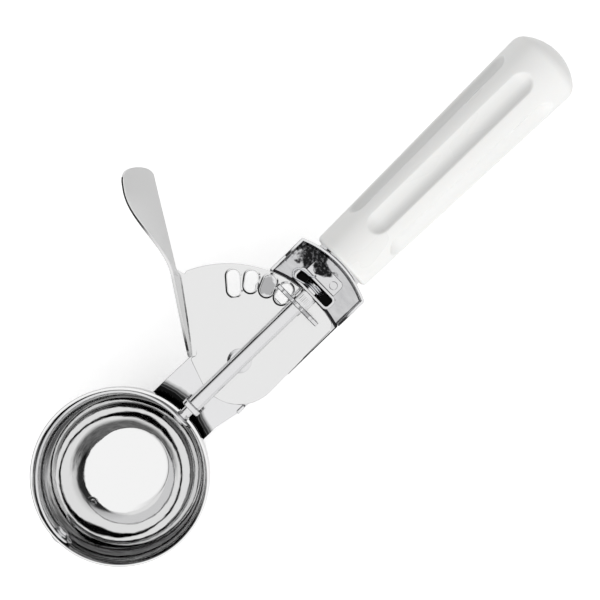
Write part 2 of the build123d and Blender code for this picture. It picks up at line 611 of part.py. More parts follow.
# ==== far pivot: a pin riveted in the bowl's wall, with a washer inside
with BuildPart() as far_pin:
    rod(-BOWL_R, -far_head_out, FAR_PIN_D)
    rod(-BOWL_R - RIVET_HEAD_T, -BOWL_R, RIVET_HEAD_D)
    rod(-far_head_out, -far_head_out + RIVET_HEAD_T, RIVET_HEAD_D)
    fillet(far_pin.edges().group_by(Axis.X)[0], RIVET_HEAD_T * 0.6)
    fillet(far_pin.edges().group_by(Axis.X)[-1], RIVET_HEAD_T * 0.6)
far_pin.part.label = "far_pin"

with BuildPart() as far_washer:
    rod(-far_washer_out, -far_head_out, SCRAPER_WASHER_D)
    rod(-far_washer_out - CUT, -far_head_out + CUT, FAR_PIN_D, mode=Mode.SUBTRACT)
far_washer.part.label = "far_washer"

# ==== return spring: hooked over the bracket's rear wall, coiled, and bent into the shaft's slot
hook_x = BRACKET_BACK + FACE_GAP + WIRE_D / 2
over_z = BRACKET_TOP + FACE_GAP + WIRE_D / 2
coil_plane = Plane(origin=(COIL_X, 0, SHAFT_Z), x_dir=(0, 1, 0), z_dir=(1, 0, 0))
with BuildPart() as coil:
    with BuildLine() as coil_path:
        Helix(SPRING_PITCH, SPRING_TURNS * SPRING_PITCH, COIL_R, lefthand=True)
    with BuildSketch(Plane(origin=coil_path.line @ 0, z_dir=coil_path.line % 0)):
        Circle(WIRE_D / 2)
    sweep(path=coil_path.line, is_frenet=True)

with BuildPart() as return_spring:
    add(coil.part.moved(coil_plane.location))
    upright(WIRE_D, SHAFT_Z, over_z, COIL_X, COIL_R)
    rod(COIL_X, hook_x, WIRE_D, COIL_R, over_z)
    upright(WIRE_D, over_z - SPRING_HOOK, over_z, hook_x, COIL_R)
    upright(WIRE_D, SHAFT_Z + WIRE_D, SHAFT_Z + COIL_R, LEG_X)
    bends = [
        (COIL_X, COIL_R, over_z),
        (hook_x, COIL_R, over_z),
        (LEG_X, 0, SHAFT_Z + COIL_R),
    ]
    with Locations(*bends):
        Sphere(WIRE_D / 2)
return_spring.part.label = "return_spring"

# ==== tang: a bar from the trough's end wall into the handle, with two cross pins
with BuildPart() as end_form:
    with BuildSketch(Plane.XY.offset(HANDLE_Z - HANDLE_NECK_D)):
        add(trough_plan.sketch)
    extrude(amount=2 * HANDLE_NECK_D)

pin_xs = [HANDLE_X + TANG_PIN_FIRST, HANDLE_X + TANG_PIN_FIRST + TANG_PIN_STEP]
with BuildPart() as tang_pins:
    for pin_x in pin_xs:
        with Locations(Location((pin_x, 0, HANDLE_Z), (90, 0, 0))):
            Cylinder(TANG_PIN_D / 2, TANG_PIN_L)
tang_pins.part.label = "tang_pins"

with BuildPart() as tang:
    rod(TROUGH_END_X, HANDLE_X + TANG_L, TANG_D, z=HANDLE_Z)
    chamfer(tang.edges().group_by(Axis.X)[-1], SHAFT_CHAMFER)
    add(end_form.part, mode=Mode.SUBTRACT)
    add(tang_pins.part, mode=Mode.SUBTRACT)
tang.part.label = "tang"

with BuildPart() as neck_washer:
    rod(TROUGH_END_X, HANDLE_X, NECK_WASHER_D, z=HANDLE_Z)
    add(end_form.part, mode=Mode.SUBTRACT)
    rod(TROUGH_END_X, HANDLE_X + CUT, TANG_D, z=HANDLE_Z, mode=Mode.SUBTRACT)
neck_washer.part.label = "neck_washer"

# ==== handle: tapered plastic grip with a domed end and long flutes, moulded on the tang
neck_r = HANDLE_NECK_D / 2
wide_r = HANDLE_WIDE_D / 2
wide_l = HANDLE_L - HANDLE_DOME_L
dome_r = (wide_r**2 + HANDLE_DOME_L**2) / (2 * HANDLE_DOME_L)
dome_turn = math.degrees(math.asin(wide_r / dome_r))
flute_far = FLUTE_START + FLUTE_L


def grip_r(x):
    """The grip's radius at a distance from its neck face."""
    return neck_r + (wide_r - neck_r) * x / wide_l


near_centre = (FLUTE_START, grip_r(FLUTE_START) + FLUTE_CUTTER_R - FLUTE_DEPTH)
far_centre = (flute_far, grip_r(flute_far) + FLUTE_CUTTER_R - FLUTE_DEPTH)
flute_tilt = math.degrees(math.atan2(far_centre[1] - near_centre[1], FLUTE_L))
flute_run = math.hypot(FLUTE_L, far_centre[1] - near_centre[1])
with BuildPart() as flute:
    with Locations(Location((near_centre[0], 0, near_centre[1]), (0, 90 - flute_tilt, 0))):
        Cylinder(FLUTE_CUTTER_R, flute_run, align=ALONG)
    with Locations((near_centre[0], 0, near_centre[1]), (far_centre[0], 0, far_centre[1])):
        Sphere(FLUTE_CUTTER_R)

to_handle = Location((HANDLE_X, 0, HANDLE_Z))
with BuildPart() as grip:
    with BuildSketch(Plane.XZ) as grip_profile:
        with BuildLine():
            Line((0, 0), (0, neck_r))
            Line((0, neck_r), (wide_l, wide_r))
            CenterArc((HANDLE_L - dome_r, 0), dome_r, dome_turn, -dome_turn)
            Line((HANDLE_L, 0), (0, 0))
        make_face()
        fillet(grip_profile.vertices().sort_by_distance((0, neck_r))[0], HANDLE_EDGE)
        fillet(grip_profile.vertices().sort_by_distance((wide_l, wide_r))[0], HANDLE_CORNER_R)
    revolve(axis=Axis.X)
    for flute_number in range(FLUTE_COUNT):
        turn = -FLUTE_TURN + flute_number * 360 / FLUTE_COUNT
        add(flute.part.rotate(Axis.X, turn), mode=Mode.SUBTRACT)

with BuildPart() as handle:
    add(grip.part.moved(to_handle))
    rod(HANDLE_X - CUT, HANDLE_X + TANG_L, TANG_D, z=HANDLE_Z, mode=Mode.SUBTRACT)
    add(tang_pins.part, mode=Mode.SUBTRACT)
handle.part.label = "handle"

# ==== files, one for each piece
os.makedirs("parts", exist_ok=True)
export_step(bowl.part, "parts/bowl.step")
export_step(shank.part, "parts/shank.step")
export_step(front_bearing.part, "parts/front_bearing.step")
export_step(bearing_bracket.part, "parts/bearing_bracket.step")
export_step(bracket_rivets.part, "parts/bracket_rivets.step")
export_step(pivot_washer.part, "parts/pivot_washer.step")
export_step(pivot_rivet.part, "parts/pivot_rivet.step")
export_step(thumb_lever.part, "parts/thumb_lever.step")
export_step(shaft.part, "parts/shaft.step")
export_step(pinion.part, "parts/pinion.step")
export_step(pinion_hub.part, "parts/pinion_hub.step")
export_step(scraper_at_rest, "parts/scraper.step")
export_step(scraper_washer.part, "parts/scraper_washer.step")
export_step(far_pin.part, "parts/far_pin.step")
export_step(far_washer.part, "parts/far_washer.step")
export_step(return_spring.part, "parts/return_spring.step")
export_step(tang.part, "parts/tang.step")
export_step(tang_pins.part, "parts/tang_pins.step")
export_step(neck_washer.part, "parts/neck_washer.step")
export_step(handle.part, "parts/handle.step")
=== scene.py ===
"""Lever ice cream scoop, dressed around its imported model.

Every length in the sections is in millimetres, in the model's own frame: the origin is the centre
of the bowl's rim plane, +X runs along the shaft to the handle, +Y is the thumb lever's side and
+Z leaves the mouth. Meshes are scaled to metres as they are built.
"""
import math

import bpy
import numpy as np
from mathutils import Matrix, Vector
from mathutils.geometry import tessellate_polygon


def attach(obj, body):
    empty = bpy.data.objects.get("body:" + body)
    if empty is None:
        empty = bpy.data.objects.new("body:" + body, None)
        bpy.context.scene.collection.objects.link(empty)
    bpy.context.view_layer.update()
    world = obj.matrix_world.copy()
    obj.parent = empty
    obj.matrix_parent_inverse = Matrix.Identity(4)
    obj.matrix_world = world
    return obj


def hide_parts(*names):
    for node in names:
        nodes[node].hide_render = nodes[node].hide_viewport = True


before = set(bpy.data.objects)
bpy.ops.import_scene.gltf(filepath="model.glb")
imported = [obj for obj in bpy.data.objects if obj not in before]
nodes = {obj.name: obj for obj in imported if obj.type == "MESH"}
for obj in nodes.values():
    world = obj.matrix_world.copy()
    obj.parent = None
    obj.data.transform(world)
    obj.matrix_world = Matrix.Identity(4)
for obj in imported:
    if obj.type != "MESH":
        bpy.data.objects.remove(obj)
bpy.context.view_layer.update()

# ---- Camera: straight above the tool, turned so that the handle points up and to the right.
CAMERA_AT = (0.0966, 0.0006, 0.496)  # metres
CAMERA_TURN = math.radians(44.1)
LENS_MM = 77.92

scene = bpy.context.scene
scene.view_settings.view_transform = "Standard"
camera = bpy.data.objects.new("camera", bpy.data.cameras.new("camera"))
camera.data.lens = LENS_MM
camera.data.sensor_width = 36.0
camera.location = CAMERA_AT
camera.rotation_euler = (0, 0, -CAMERA_TURN)
scene.collection.objects.link(camera)
scene.camera = camera


# ---- Studio: a white dome with a dark band low down, which stands highest towards the bowl and
# the lever's side, and a dark boom overhead that only deep reflections see, such as those in the
# bowl. A soft lamp stands on the side away from the lever.
def linear(hex_colour):
    """An sRGB hex colour as linear red, green, blue and an alpha of 1."""
    values = [int(hex_colour[i : i + 2], 16) / 255 for i in (0, 2, 4)]
    return [v / 12.92 if v <= 0.04045 else ((v + 0.055) / 1.055) ** 2.4 for v in values] + [1.0]


def add(tree, kind, settings=None, stops=(), **inputs):
    """Adds a node. Settings are its own properties and stops a colour ramp's grey levels, each as
    (place, level). An input that is an output socket is linked, a hex colour is made linear, and
    any other value is set; _0, _1 and so on stand for inputs by number."""
    node = tree.nodes.new(kind)
    for name, value in (settings or {}).items():
        setattr(node, name, value)
    for number, (place, level) in enumerate(stops):
        elements = node.color_ramp.elements
        if number == 0:
            elements.remove(elements[1])
        element = elements.new(place) if number else elements[0]
        element.position = place
        element.color = (level, level, level, 1)
    for name, value in inputs.items():
        socket = node.inputs[int(name[1:])] if name[0] == "_" else node.inputs[name.replace("_", " ")]
        if isinstance(value, bpy.types.NodeSocket):
            tree.links.new(value, socket)
        else:
            socket.default_value = linear(value) if isinstance(value, str) else value
    return node


BAND_AXIS = (0.44, -0.28, 0.85)  # the dark band lies below the plane square to this direction
BOOM_FROM = (0.035, -0.065)  # middle of the boom, as level direction parts
BOOM_ALONG = (-0.92, -0.39)
BOOM_HALF = (0.235, 0.095)  # half length and half width
BOOM_DEPTH = 2.5  # the boom is seen by rays that have bounced more often than this
DOME_STRENGTH = 1.12  # as metal mirrors it
FILL_AXIS = (-0.60, -0.50, 0.62)  # most of the soft fill comes from here
FILL_STRENGTH = 1.08
LAMP_SIZE = 0.9  # metres
LAMP_POWER = 2.7  # watts

world = bpy.data.worlds.new("studio")
scene.world = world
world.use_nodes = True
sky = world.node_tree
sky.nodes.clear()
direction = add(sky, "ShaderNodeTexCoord").outputs["Generated"]
rise = add(
    sky, "ShaderNodeVectorMath", {"operation": "DOT_PRODUCT"}, _0=direction, _1=BAND_AXIS
).outputs["Value"]
dome_levels = [(0.0, 0.03), (0.10, 0.04), (0.22, 0.75), (0.5, 1.0), (1.0, 1.0)]
dome = add(sky, "ShaderNodeValToRGB", stops=dome_levels, Fac=rise).outputs[0]
level_parts = add(
    sky, "ShaderNodeVectorMath", {"operation": "SUBTRACT"}, _0=direction, _1=(*BOOM_FROM, 0.0)
).outputs[0]
along_axis = (BOOM_ALONG[0] / BOOM_HALF[0], BOOM_ALONG[1] / BOOM_HALF[0], 0.0)
across_axis = (-BOOM_ALONG[1] / BOOM_HALF[1], BOOM_ALONG[0] / BOOM_HALF[1], 0.0)
along = add(
    sky, "ShaderNodeVectorMath", {"operation": "DOT_PRODUCT"}, _0=level_parts, _1=along_axis
).outputs["Value"]
across = add(
    sky, "ShaderNodeVectorMath", {"operation": "DOT_PRODUCT"}, _0=level_parts, _1=across_axis
).outputs["Value"]
pair = add(sky, "ShaderNodeCombineXYZ", _0=along, _1=across).outputs[0]
away = add(sky, "ShaderNodeVectorMath", {"operation": "LENGTH"}, _0=pair).outputs["Value"]
beside_boom = add(
    sky,
    "ShaderNodeMapRange",
    {"interpolation_type": "SMOOTHSTEP"},
    Value=away,
    From_Min=0.85,
    From_Max=1.1,
)
path = add(sky, "ShaderNodeLightPath")
first_look = add(
    sky, "ShaderNodeMath", {"operation": "LESS_THAN"}, _0=path.outputs["Ray Depth"], _1=BOOM_DEPTH
).outputs[0]
clear_sky = add(
    sky, "ShaderNodeMath", {"operation": "MAXIMUM"}, _0=beside_boom.outputs[0], _1=first_look
).outputs[0]
strength = add(sky, "ShaderNodeMath", {"operation": "MULTIPLY"}, _0=clear_sky, _1=DOME_STRENGTH).outputs[0]
mirrored = add(sky, "ShaderNodeBackground", Color=dome, Strength=strength).outputs[0]
fill_rise = add(
    sky, "ShaderNodeVectorMath", {"operation": "DOT_PRODUCT"}, _0=direction, _1=FILL_AXIS
).outputs["Value"]
fill_levels = [(0.0, 0.52), (0.35, 0.68), (0.85, 0.95)]
fill = add(sky, "ShaderNodeValToRGB", stops=fill_levels, Fac=fill_rise).outputs[0]
ambient = add(sky, "ShaderNodeBackground", Color=fill, Strength=FILL_STRENGTH).outputs[0]
blank_card = add(sky, "ShaderNodeBackground", Color=(1, 1, 1, 1), Strength=1.0).outputs[0]
seen = add(sky, "ShaderNodeMixShader", _0=path.outputs["Is Glossy Ray"], _1=ambient, _2=mirrored).outputs[0]
whole = add(sky, "ShaderNodeMixShader", _0=path.outputs["Is Camera Ray"], _1=seen, _2=blank_card).outputs[0]
add(sky, "ShaderNodeOutputWorld", Surface=whole)

lamp = bpy.data.objects.new("soft_lamp", bpy.data.lights.new("soft_lamp", "AREA"))
lamp.data.shape = "DISK"
lamp.data.size = LAMP_SIZE
lamp.data.energy = LAMP_POWER
lamp.location = (-0.40, -0.80, 0.60)
lamp.rotation_euler = (math.radians(53), 0, math.radians(-20))
lamp.visible_glossy = False
scene.collection.objects.link(lamp)

# ---- Floor: white card under the bowl, which keeps the tool's soft shadow.
FLOOR_Z = -38.8
FLOOR_HALF = 3000.0
FLOOR_LIFT = 0.42  # light added to the card where it is looked at directly
FLOOR_SHEEN = 0.13  # light added to it where metal mirrors it
MM = 0.001

floor_mesh = bpy.data.meshes.new("floor")
floor_corners = [(-1, -1), (1, -1), (1, 1), (-1, 1)]
floor_points = [(x * FLOOR_HALF * MM, y * FLOOR_HALF * MM, FLOOR_Z * MM) for x, y in floor_corners]
floor_mesh.from_pydata(floor_points, [], [(0, 1, 2, 3)])
floor = bpy.data.objects.new("floor", floor_mesh)
scene.collection.objects.link(floor)
card = bpy.data.materials.new("white card")
card.use_nodes = True
tree = card.node_tree
tree.nodes.clear()
flat = add(tree, "ShaderNodeBsdfDiffuse", Color="F6F6F6").outputs[0]
path = add(tree, "ShaderNodeLightPath")
sheen = add(
    tree, "ShaderNodeMath", {"operation": "MULTIPLY"}, _0=path.outputs["Is Glossy Ray"], _1=FLOOR_SHEEN
)
lift = add(
    tree,
    "ShaderNodeMath",
    {"operation": "MULTIPLY_ADD"},
    _0=path.outputs["Is Camera Ray"],
    _1=FLOOR_LIFT,
    _2=sheen.outputs[0],
).outputs[0]
lifted = add(tree, "ShaderNodeEmission", Color=(1, 1, 1, 1), Strength=lift).outputs[0]
both = add(tree, "ShaderNodeAddShader", _0=flat, _1=lifted).outputs[0]
add(tree, "ShaderNodeOutputMaterial", Surface=both)
floor_mesh.materials.append(card)


# ---- Bowl: half a ball of stainless steel, deep drawn and mirror polished, with a short straight
# rim whose edges are rounded over, and an open notch for the shaft.
BOWL_R = 34.4
BOWL_WALL = 1.2
SHAFT_Z = -4.0
RIM_ROUND = 0.4
NOTCH_R = 2.5
FLAT_R = (14.3, 16.0)  # inside these radii the bottom shades as the punch's flatter nose left it
FLAT_SHARE = 0.42  # share of a ball's lean that the shading keeps there
DEEP_BOUNCES = 3.5  # rays that have bounced more often than this get a metal's deep glow
DARK_REFLECTION_SIDE = (-0.72, -0.69, 0)  # the side of the wall where the painted dark reflection lies
DARK_REFLECTION_Z = (-21, -16)  # the painted reflection thickens between these heights


def eased(share):
    """A smooth step from 0 to 1, level at both ends."""
    share = np.clip(share, 0, 1)
    return share * share * (3 - 2 * share)


def unit(vectors):
    """Vectors scaled to length 1 along their last axis."""
    return vectors / np.maximum(np.linalg.norm(vectors, axis=-1, keepdims=True), 1e-12)


def grid(points, normals, wrap=False):
    """A grid of points with its normals and four-cornered faces; wrap joins the last column to the first."""
    rows, columns = points.shape[:2]
    index = np.arange(rows * columns).reshape(rows, columns)
    if wrap:
        index = np.hstack([index, index[:, :1]])
    quads = np.stack([index[:-1, :-1], index[1:, :-1], index[1:, 1:], index[:-1, 1:]], axis=-1)
    return points.reshape(-1, 3), normals.reshape(-1, 3), [quads.reshape(-1, 4)]


def build(name, parts, material, body, slot, *replaced):
    """One object from several parts: points are welded where they meet, faces are turned outwards
    by their normals, and each face corner keeps the exact normal of its own part."""
    points = np.concatenate([part[0] for part in parts])
    normals = np.concatenate([part[1] for part in parts])
    starts = np.cumsum([0] + [len(part[0]) for part in parts])
    _, first, weld = np.unique(np.round(points, 5), axis=0, return_index=True, return_inverse=True)
    weld = weld.reshape(-1)
    faces = []
    corner_normals = []
    for start, part in zip(starts, parts):
        for corners in part[2]:
            corners = corners + start
            met = weld[corners] == np.roll(weld[corners], -1, axis=1)
            whole_faces = corners[met.sum(axis=1) == 0]
            cut = met.sum(axis=1) == 1
            kinds = [whole_faces]
            if corners.shape[1] == 4:
                kinds.append(corners[cut][~met[cut]].reshape(-1, 3))
            for kind in kinds:
                spans = points[kind]
                facing = np.cross(spans[:, 2] - spans[:, 0], spans[:, -1] - spans[:, 1])
                if kind.shape[1] == 3:
                    facing = np.cross(spans[:, 1] - spans[:, 0], spans[:, 2] - spans[:, 0])
                inward = (facing * normals[kind].sum(axis=1)).sum(axis=1) < 0
                kind = np.where(inward[:, None], kind[:, ::-1], kind)
                faces += weld[kind].tolist()
                corner_normals.append(normals[kind].reshape(-1, 3))
    mesh = bpy.data.meshes.new(name)
    mesh.from_pydata((points[first] * MM).tolist(), [], faces)
    mesh.polygons.foreach_set("use_smooth", np.ones(len(faces), dtype=bool))
    mesh.normals_split_custom_set(np.concatenate(corner_normals).tolist())
    mesh.materials.append(material)
    piece = bpy.data.objects.new(name, mesh)
    scene.collection.objects.link(piece)
    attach(piece, body)
    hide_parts(*replaced)
    return piece


def metal(name, colour, roughness, deep_glow=0.35):
    """A metal material to work on: its node tree, its shader and its object coordinates. After
    several reflections deep_glow stands in for the light that would still arrive."""
    material = bpy.data.materials.new(name)
    material.use_nodes = True
    tree = material.node_tree
    shader = tree.nodes["Principled BSDF"]
    shader.inputs["Base Color"].default_value = linear(colour)
    shader.inputs["Metallic"].default_value = 1.0
    shader.inputs["Roughness"].default_value = roughness
    place = add(tree, "ShaderNodeTexCoord").outputs["Object"]
    path = add(tree, "ShaderNodeLightPath")
    deep = add(
        tree,
        "ShaderNodeMath",
        {"operation": "GREATER_THAN"},
        _0=path.outputs["Ray Depth"],
        _1=DEEP_BOUNCES,
    ).outputs[0]
    faint = add(tree, "ShaderNodeMath", {"operation": "MULTIPLY"}, _0=deep, _1=deep_glow).outputs[0]
    tree.links.new(faint, shader.inputs["Emission Strength"])
    shader.inputs["Emission Color"].default_value = (1, 1, 1, 1)
    return material, tree, shader, place


def scaled(tree, place, sizes):
    """Object coordinates divided by a pattern size in millimetres along each axis."""
    factors = tuple(1 / (size * MM) for size in sizes)
    return add(tree, "ShaderNodeVectorMath", {"operation": "MULTIPLY"}, _0=place, _1=factors).outputs[0]


def drawn_steel():
    """Deep-drawn steel, polished to a mirror: clean reflections that waver a little where the
    sheet stretched and along the draw marks round the wall, with faint buffing lines and a slightly
    duller haze in places. Inside, a dark, streaky reflection is painted onto one side of the wall up
    to the rim."""
    material, tree, shader, place = metal("mirror-polished drawn steel", "DEDEDE", 0.03, 0.0)
    stretch = add(tree, "ShaderNodeTexNoise", Vector=scaled(tree, place, (9, 9, 9)), Scale=1.0, Detail=2.0)
    ripple = add(tree, "ShaderNodeBump", Height=stretch.outputs["Fac"], Strength=0.085, Distance=0.6 * MM)
    rings = add(
        tree,
        "ShaderNodeTexWave",
        {"wave_type": "RINGS", "rings_direction": "Z"},
        Vector=scaled(tree, place, (1, 1, 1)),
        Scale=2.2,
        Distortion=1.2,
        Detail=3.0,
    )
    buffed = add(
        tree,
        "ShaderNodeBump",
        Height=rings.outputs["Fac"],
        Normal=ripple.outputs[0],
        Strength=0.006,
        Distance=0.05 * MM,
    )
    flat_place = add(
        tree, "ShaderNodeVectorMath", {"operation": "MULTIPLY"}, _0=place, _1=(1, 1, 0)
    ).outputs[0]
    spoke = add(tree, "ShaderNodeVectorMath", {"operation": "NORMALIZE"}, _0=flat_place).outputs[0]
    height = add(
        tree, "ShaderNodeVectorMath", {"operation": "MULTIPLY"}, _0=place, _1=(0, 0, 1 / (1.6 * MM))
    ).outputs[0]
    round_place = add(
        tree, "ShaderNodeVectorMath", {"operation": "MULTIPLY_ADD"}, _0=spoke, _1=(2.4, 2.4, 0), _2=height
    ).outputs[0]
    draws = add(tree, "ShaderNodeTexNoise", Vector=round_place, Scale=1.0, Detail=2.0)
    drawn = add(
        tree,
        "ShaderNodeBump",
        Height=draws.outputs["Fac"],
        Normal=buffed.outputs[0],
        Strength=0.09,
        Distance=0.12 * MM,
    )
    haze = add(tree, "ShaderNodeTexNoise", Vector=scaled(tree, place, (7, 7, 7)), Scale=1.0, Detail=4.0)
    dull = add(
        tree,
        "ShaderNodeMapRange",
        Value=haze.outputs["Fac"],
        From_Min=0.35,
        From_Max=0.75,
        To_Min=0.015,
        To_Max=0.07,
    )
    tree.links.new(dull.outputs[0], shader.inputs["Roughness"])
    tree.links.new(drawn.outputs[0], shader.inputs["Normal"])
    # Painted reflection: a dark, streaky colour inside one side of the wall stands for the dark surroundings
    # it mirrors.
    lie = add(tree, "ShaderNodeVectorMath", {"operation": "DOT_PRODUCT"}, _0=spoke, _1=DARK_REFLECTION_SIDE)
    streaks = add(
        tree, "ShaderNodeTexNoise", Vector=scaled(tree, place, (6, 6, 1.2)), Scale=1.0, Detail=3.0
    )
    side = add(
        tree,
        "ShaderNodeMath",
        {"operation": "MULTIPLY_ADD"},
        _0=streaks.outputs["Fac"],
        _1=0.7,
        _2=lie.outputs["Value"],
    ).outputs[0]
    beside = add(tree, "ShaderNodeMapRange", Value=side, From_Min=0.38, From_Max=0.85).outputs[0]
    split = add(tree, "ShaderNodeSeparateXYZ", _0=place)
    high = add(
        tree, "ShaderNodeMapRange", Value=split.outputs[2], From_Min=DARK_REFLECTION_Z[0] * MM, From_Max=DARK_REFLECTION_Z[1] * MM
    ).outputs[0]
    centre_gap = add(
        tree, "ShaderNodeVectorMath", {"operation": "DISTANCE"}, _0=place, _1=(0, 0, SHAFT_Z * MM)
    ).outputs["Value"]
    inside = add(
        tree, "ShaderNodeMath", {"operation": "LESS_THAN"}, _0=centre_gap, _1=(BOWL_R - BOWL_WALL / 2) * MM
    ).outputs[0]
    high_inside = add(tree, "ShaderNodeMath", {"operation": "MULTIPLY"}, _0=high, _1=inside).outputs[0]
    painted_reflection = add(tree, "ShaderNodeMath", {"operation": "MULTIPLY"}, _0=beside, _1=high_inside).outputs[0]
    thick = add(
        tree, "ShaderNodeMapRange", Value=streaks.outputs["Fac"], From_Min=0.3, From_Max=0.7
    ).outputs[0]
    reflection_colour = add(
        tree, "ShaderNodeMix", {"data_type": "RGBA"}, Factor=thick, _6="7C7C7C", _7="464646"
    ).outputs[2]
    colour = add(
        tree, "ShaderNodeMix", {"data_type": "RGBA"}, Factor=painted_reflection, _6="E7E7E7", _7=reflection_colour
    ).outputs[2]
    tree.links.new(colour, shader.inputs["Base Color"])
    return material


def bowl_skin():
    """The bowl as one closed skin of revolution. A wall of radius R is a ball's arc about the
    shaft's height and then a straight run: (R cos a, z0 - R sin a) and (R, z). In the notch the
    top edge drops to z0 - sqrt(n^2 - y^2)."""
    inner = BOWL_R - BOWL_WALL
    notch_turn = math.asin(NOTCH_R / BOWL_R)
    cut_turns = notch_turn * np.sin(np.linspace(-math.pi / 2, math.pi / 2, 17))
    full_turns = np.linspace(notch_turn, 2 * math.pi - notch_turn, 360)
    turns = np.concatenate([cut_turns, full_turns])
    tops = np.zeros(len(turns))
    side = BOWL_R * np.sin(cut_turns)
    tops[: len(cut_turns)] = SHAFT_Z - np.sqrt(np.maximum(NOTCH_R**2 - side**2, 0))

    def wall(radius, shares):
        """Radius, height and lean of a wall, from the pole at share 0 to its top edge at 1."""
        edge = tops[None, :] - RIM_ROUND
        arc_top = np.arcsin(np.clip((SHAFT_Z - edge) / radius, 0, 1))
        arc_length = radius * (math.pi / 2 - arc_top)
        length = arc_length + np.maximum(edge - SHAFT_Z, 0)
        run = shares[:, None] * length
        angle = math.pi / 2 - np.minimum(run, arc_length) / radius
        height = SHAFT_Z - radius * np.sin(angle) + np.maximum(run - arc_length, 0)
        return radius * np.cos(angle), height, np.cos(angle), np.sin(angle)

    rho_in, z_in, out_in, down_in = wall(inner, np.sin(np.linspace(0, math.pi / 2, 150)))
    flatter = FLAT_SHARE + (1 - FLAT_SHARE) * eased((rho_in - FLAT_R[0]) / (FLAT_R[1] - FLAT_R[0]))
    out_in = out_in * flatter
    down_in = np.sqrt(1 - out_in**2)
    rho_out, z_out, out_out, down_out = wall(BOWL_R, np.linspace(1, 0, 60))
    bead = np.radians(np.linspace(180, 90, 7))
    low = tops[None, :] - RIM_ROUND
    rho_a = inner + RIM_ROUND + RIM_ROUND * np.cos(bead)[:, None] + 0 * low
    z_a = low + RIM_ROUND * np.sin(bead)[:, None]
    rho_b = BOWL_R - RIM_ROUND - RIM_ROUND * np.cos(bead)[::-1, None] + 0 * low
    z_b = low + RIM_ROUND * np.sin(bead)[::-1, None]
    rho = np.concatenate([rho_in, rho_a, rho_b, rho_out])
    height = np.concatenate([z_in, z_a, z_b, z_out])
    bead_out = np.cos(bead)[:, None] + 0 * low
    bead_up = np.sin(bead)[:, None] + 0 * low
    out = np.concatenate([-out_in, bead_out, -bead_out[::-1], out_out])
    up = np.concatenate([down_in, bead_up, bead_up[::-1], -down_out])
    points = np.stack([rho * np.cos(turns), rho * np.sin(turns), height], axis=-1)
    normals = np.stack([out * np.cos(turns), out * np.sin(turns), up], axis=-1)
    return grid(points, normals, wrap=True)


mirror_steel = drawn_steel()
build("bowl_shell", [bowl_skin()], mirror_steel, "frame", "polished_bowl", "bowl")


# ---- Shank: one pressed sheet of polished steel. A tongue lies under the bowl, bends up into the
# level floor, and the floor turns up into two walls and a curved end wall at the handle.
SHEET_T = 1.2
SHEET_EDGE = 0.35  # radius that tumbling has left on every sheet edge
FLOOR_MID = -14.75
NECK_BEND_R = 8.0
TONGUE_TURN = math.radians(57)  # how far below the shaft the tongue reaches under the bowl
TONGUE_TIP_R = 30.0  # inside this radius its sides close to a round tip
NECK_END_R = 40.0  # from here the neck widens to the shoulders
NECK_LEFT_W = 14.9
NECK_RIGHT_W = 12.4
SHOULDER_X = 50.0
SHOULDER_HALF_W = 14.7
SHANK_HALF_W = 17.2
RIGHT_STEP_X = 73.0
LEFT_STEP_X = 88.2
STEP_L = 3.0
RELIEF_X = 103.4
LEFT_WALL_X = 96.5
RIGHT_WALL_X = 100.2
END_ARC_X = 76.97  # centre of the end wall's curve
END_ARC_R = 40.83
WALL_TOP = -2.4
WALL_BEND_R = 1.3
TUCK = 0.006  # how far a sheet lies under the one it continues
SHADED_END_BOX = ((111, 0, -13), (12.0, 18, 3))  # middle and half sizes of the trough's end, where mottled shade is painted darker
DARK_PATCH_AT = (111.4, 7.6, FLOOR_MID)  # a painted dark reflection on the floor behind the cage
DARK_PATCH_SIZE = (7.4, 9.6, 3.0)
SHADED_SPOT_AT = (91.5, 13.0, FLOOR_MID)  # a spot of painted shade on the floor under the sector plate's third slot
EDGE_SHADOW_AT = (53.5, -3.3, FLOOR_MID)  # middle and radius of the painted shadow line just beyond the plate's curved edge
EDGE_SHADOW_R = 47.9
EDGE_SHADOW_HALF_W = 0.6


def rounded(corners, radius, closed=True, steps=8):
    """A path with its corners turned into arcs: points, and unit normals on its right-hand side.
    Corners that turn by less than 10 degrees are points of a smooth curve and stay."""
    corners = np.asarray(corners, dtype=float)
    points = []
    normals = []
    for place, corner in enumerate(corners):
        before = corner - corners[place - 1]
        after = corners[(place + 1) % len(corners)] - corner
        if not closed and place == 0:
            before = after
        if not closed and place == len(corners) - 1:
            after = before
        reach = min(np.linalg.norm(before), np.linalg.norm(after)) * 0.49
        before = before / np.linalg.norm(before)
        after = after / np.linalg.norm(after)
        turn = math.atan2(before[0] * after[1] - before[1] * after[0], before @ after)
        if abs(turn) < math.radians(10):
            middle = before + after
            middle = middle / np.linalg.norm(middle)
            points.append(corner)
            normals.append((middle[1], -middle[0]))
            continue
        reach = min(reach, radius * math.tan(abs(turn) / 2))
        size = math.copysign(reach / math.tan(abs(turn) / 2), turn)
        centre = corner - before * reach + size * np.array([-before[1], before[0]])
        for bend in np.linspace(0, turn, steps + 1):
            along = np.array(
                [
                    before[0] * math.cos(bend) - before[1] * math.sin(bend),
                    before[0] * math.sin(bend) + before[1] * math.cos(bend),
                ]
            )
            normals.append((along[1], -along[0]))
            points.append(centre + size * np.array(normals[-1]))
    return np.array(points), np.array(normals)


def arc(centre, radius, first, last, count):
    """Points of an arc in the plane, between two angles in degrees."""
    angles = np.radians(np.linspace(first, last, count))
    return np.stack([centre[0] + radius * np.cos(angles), centre[1] + radius * np.sin(angles)], axis=-1)


def slopes(points, axis, wrap):
    """Central differences of a grid of points along one axis."""
    if wrap:
        return np.roll(points, -1, axis) - np.roll(points, 1, axis)
    return np.gradient(points, axis=axis)


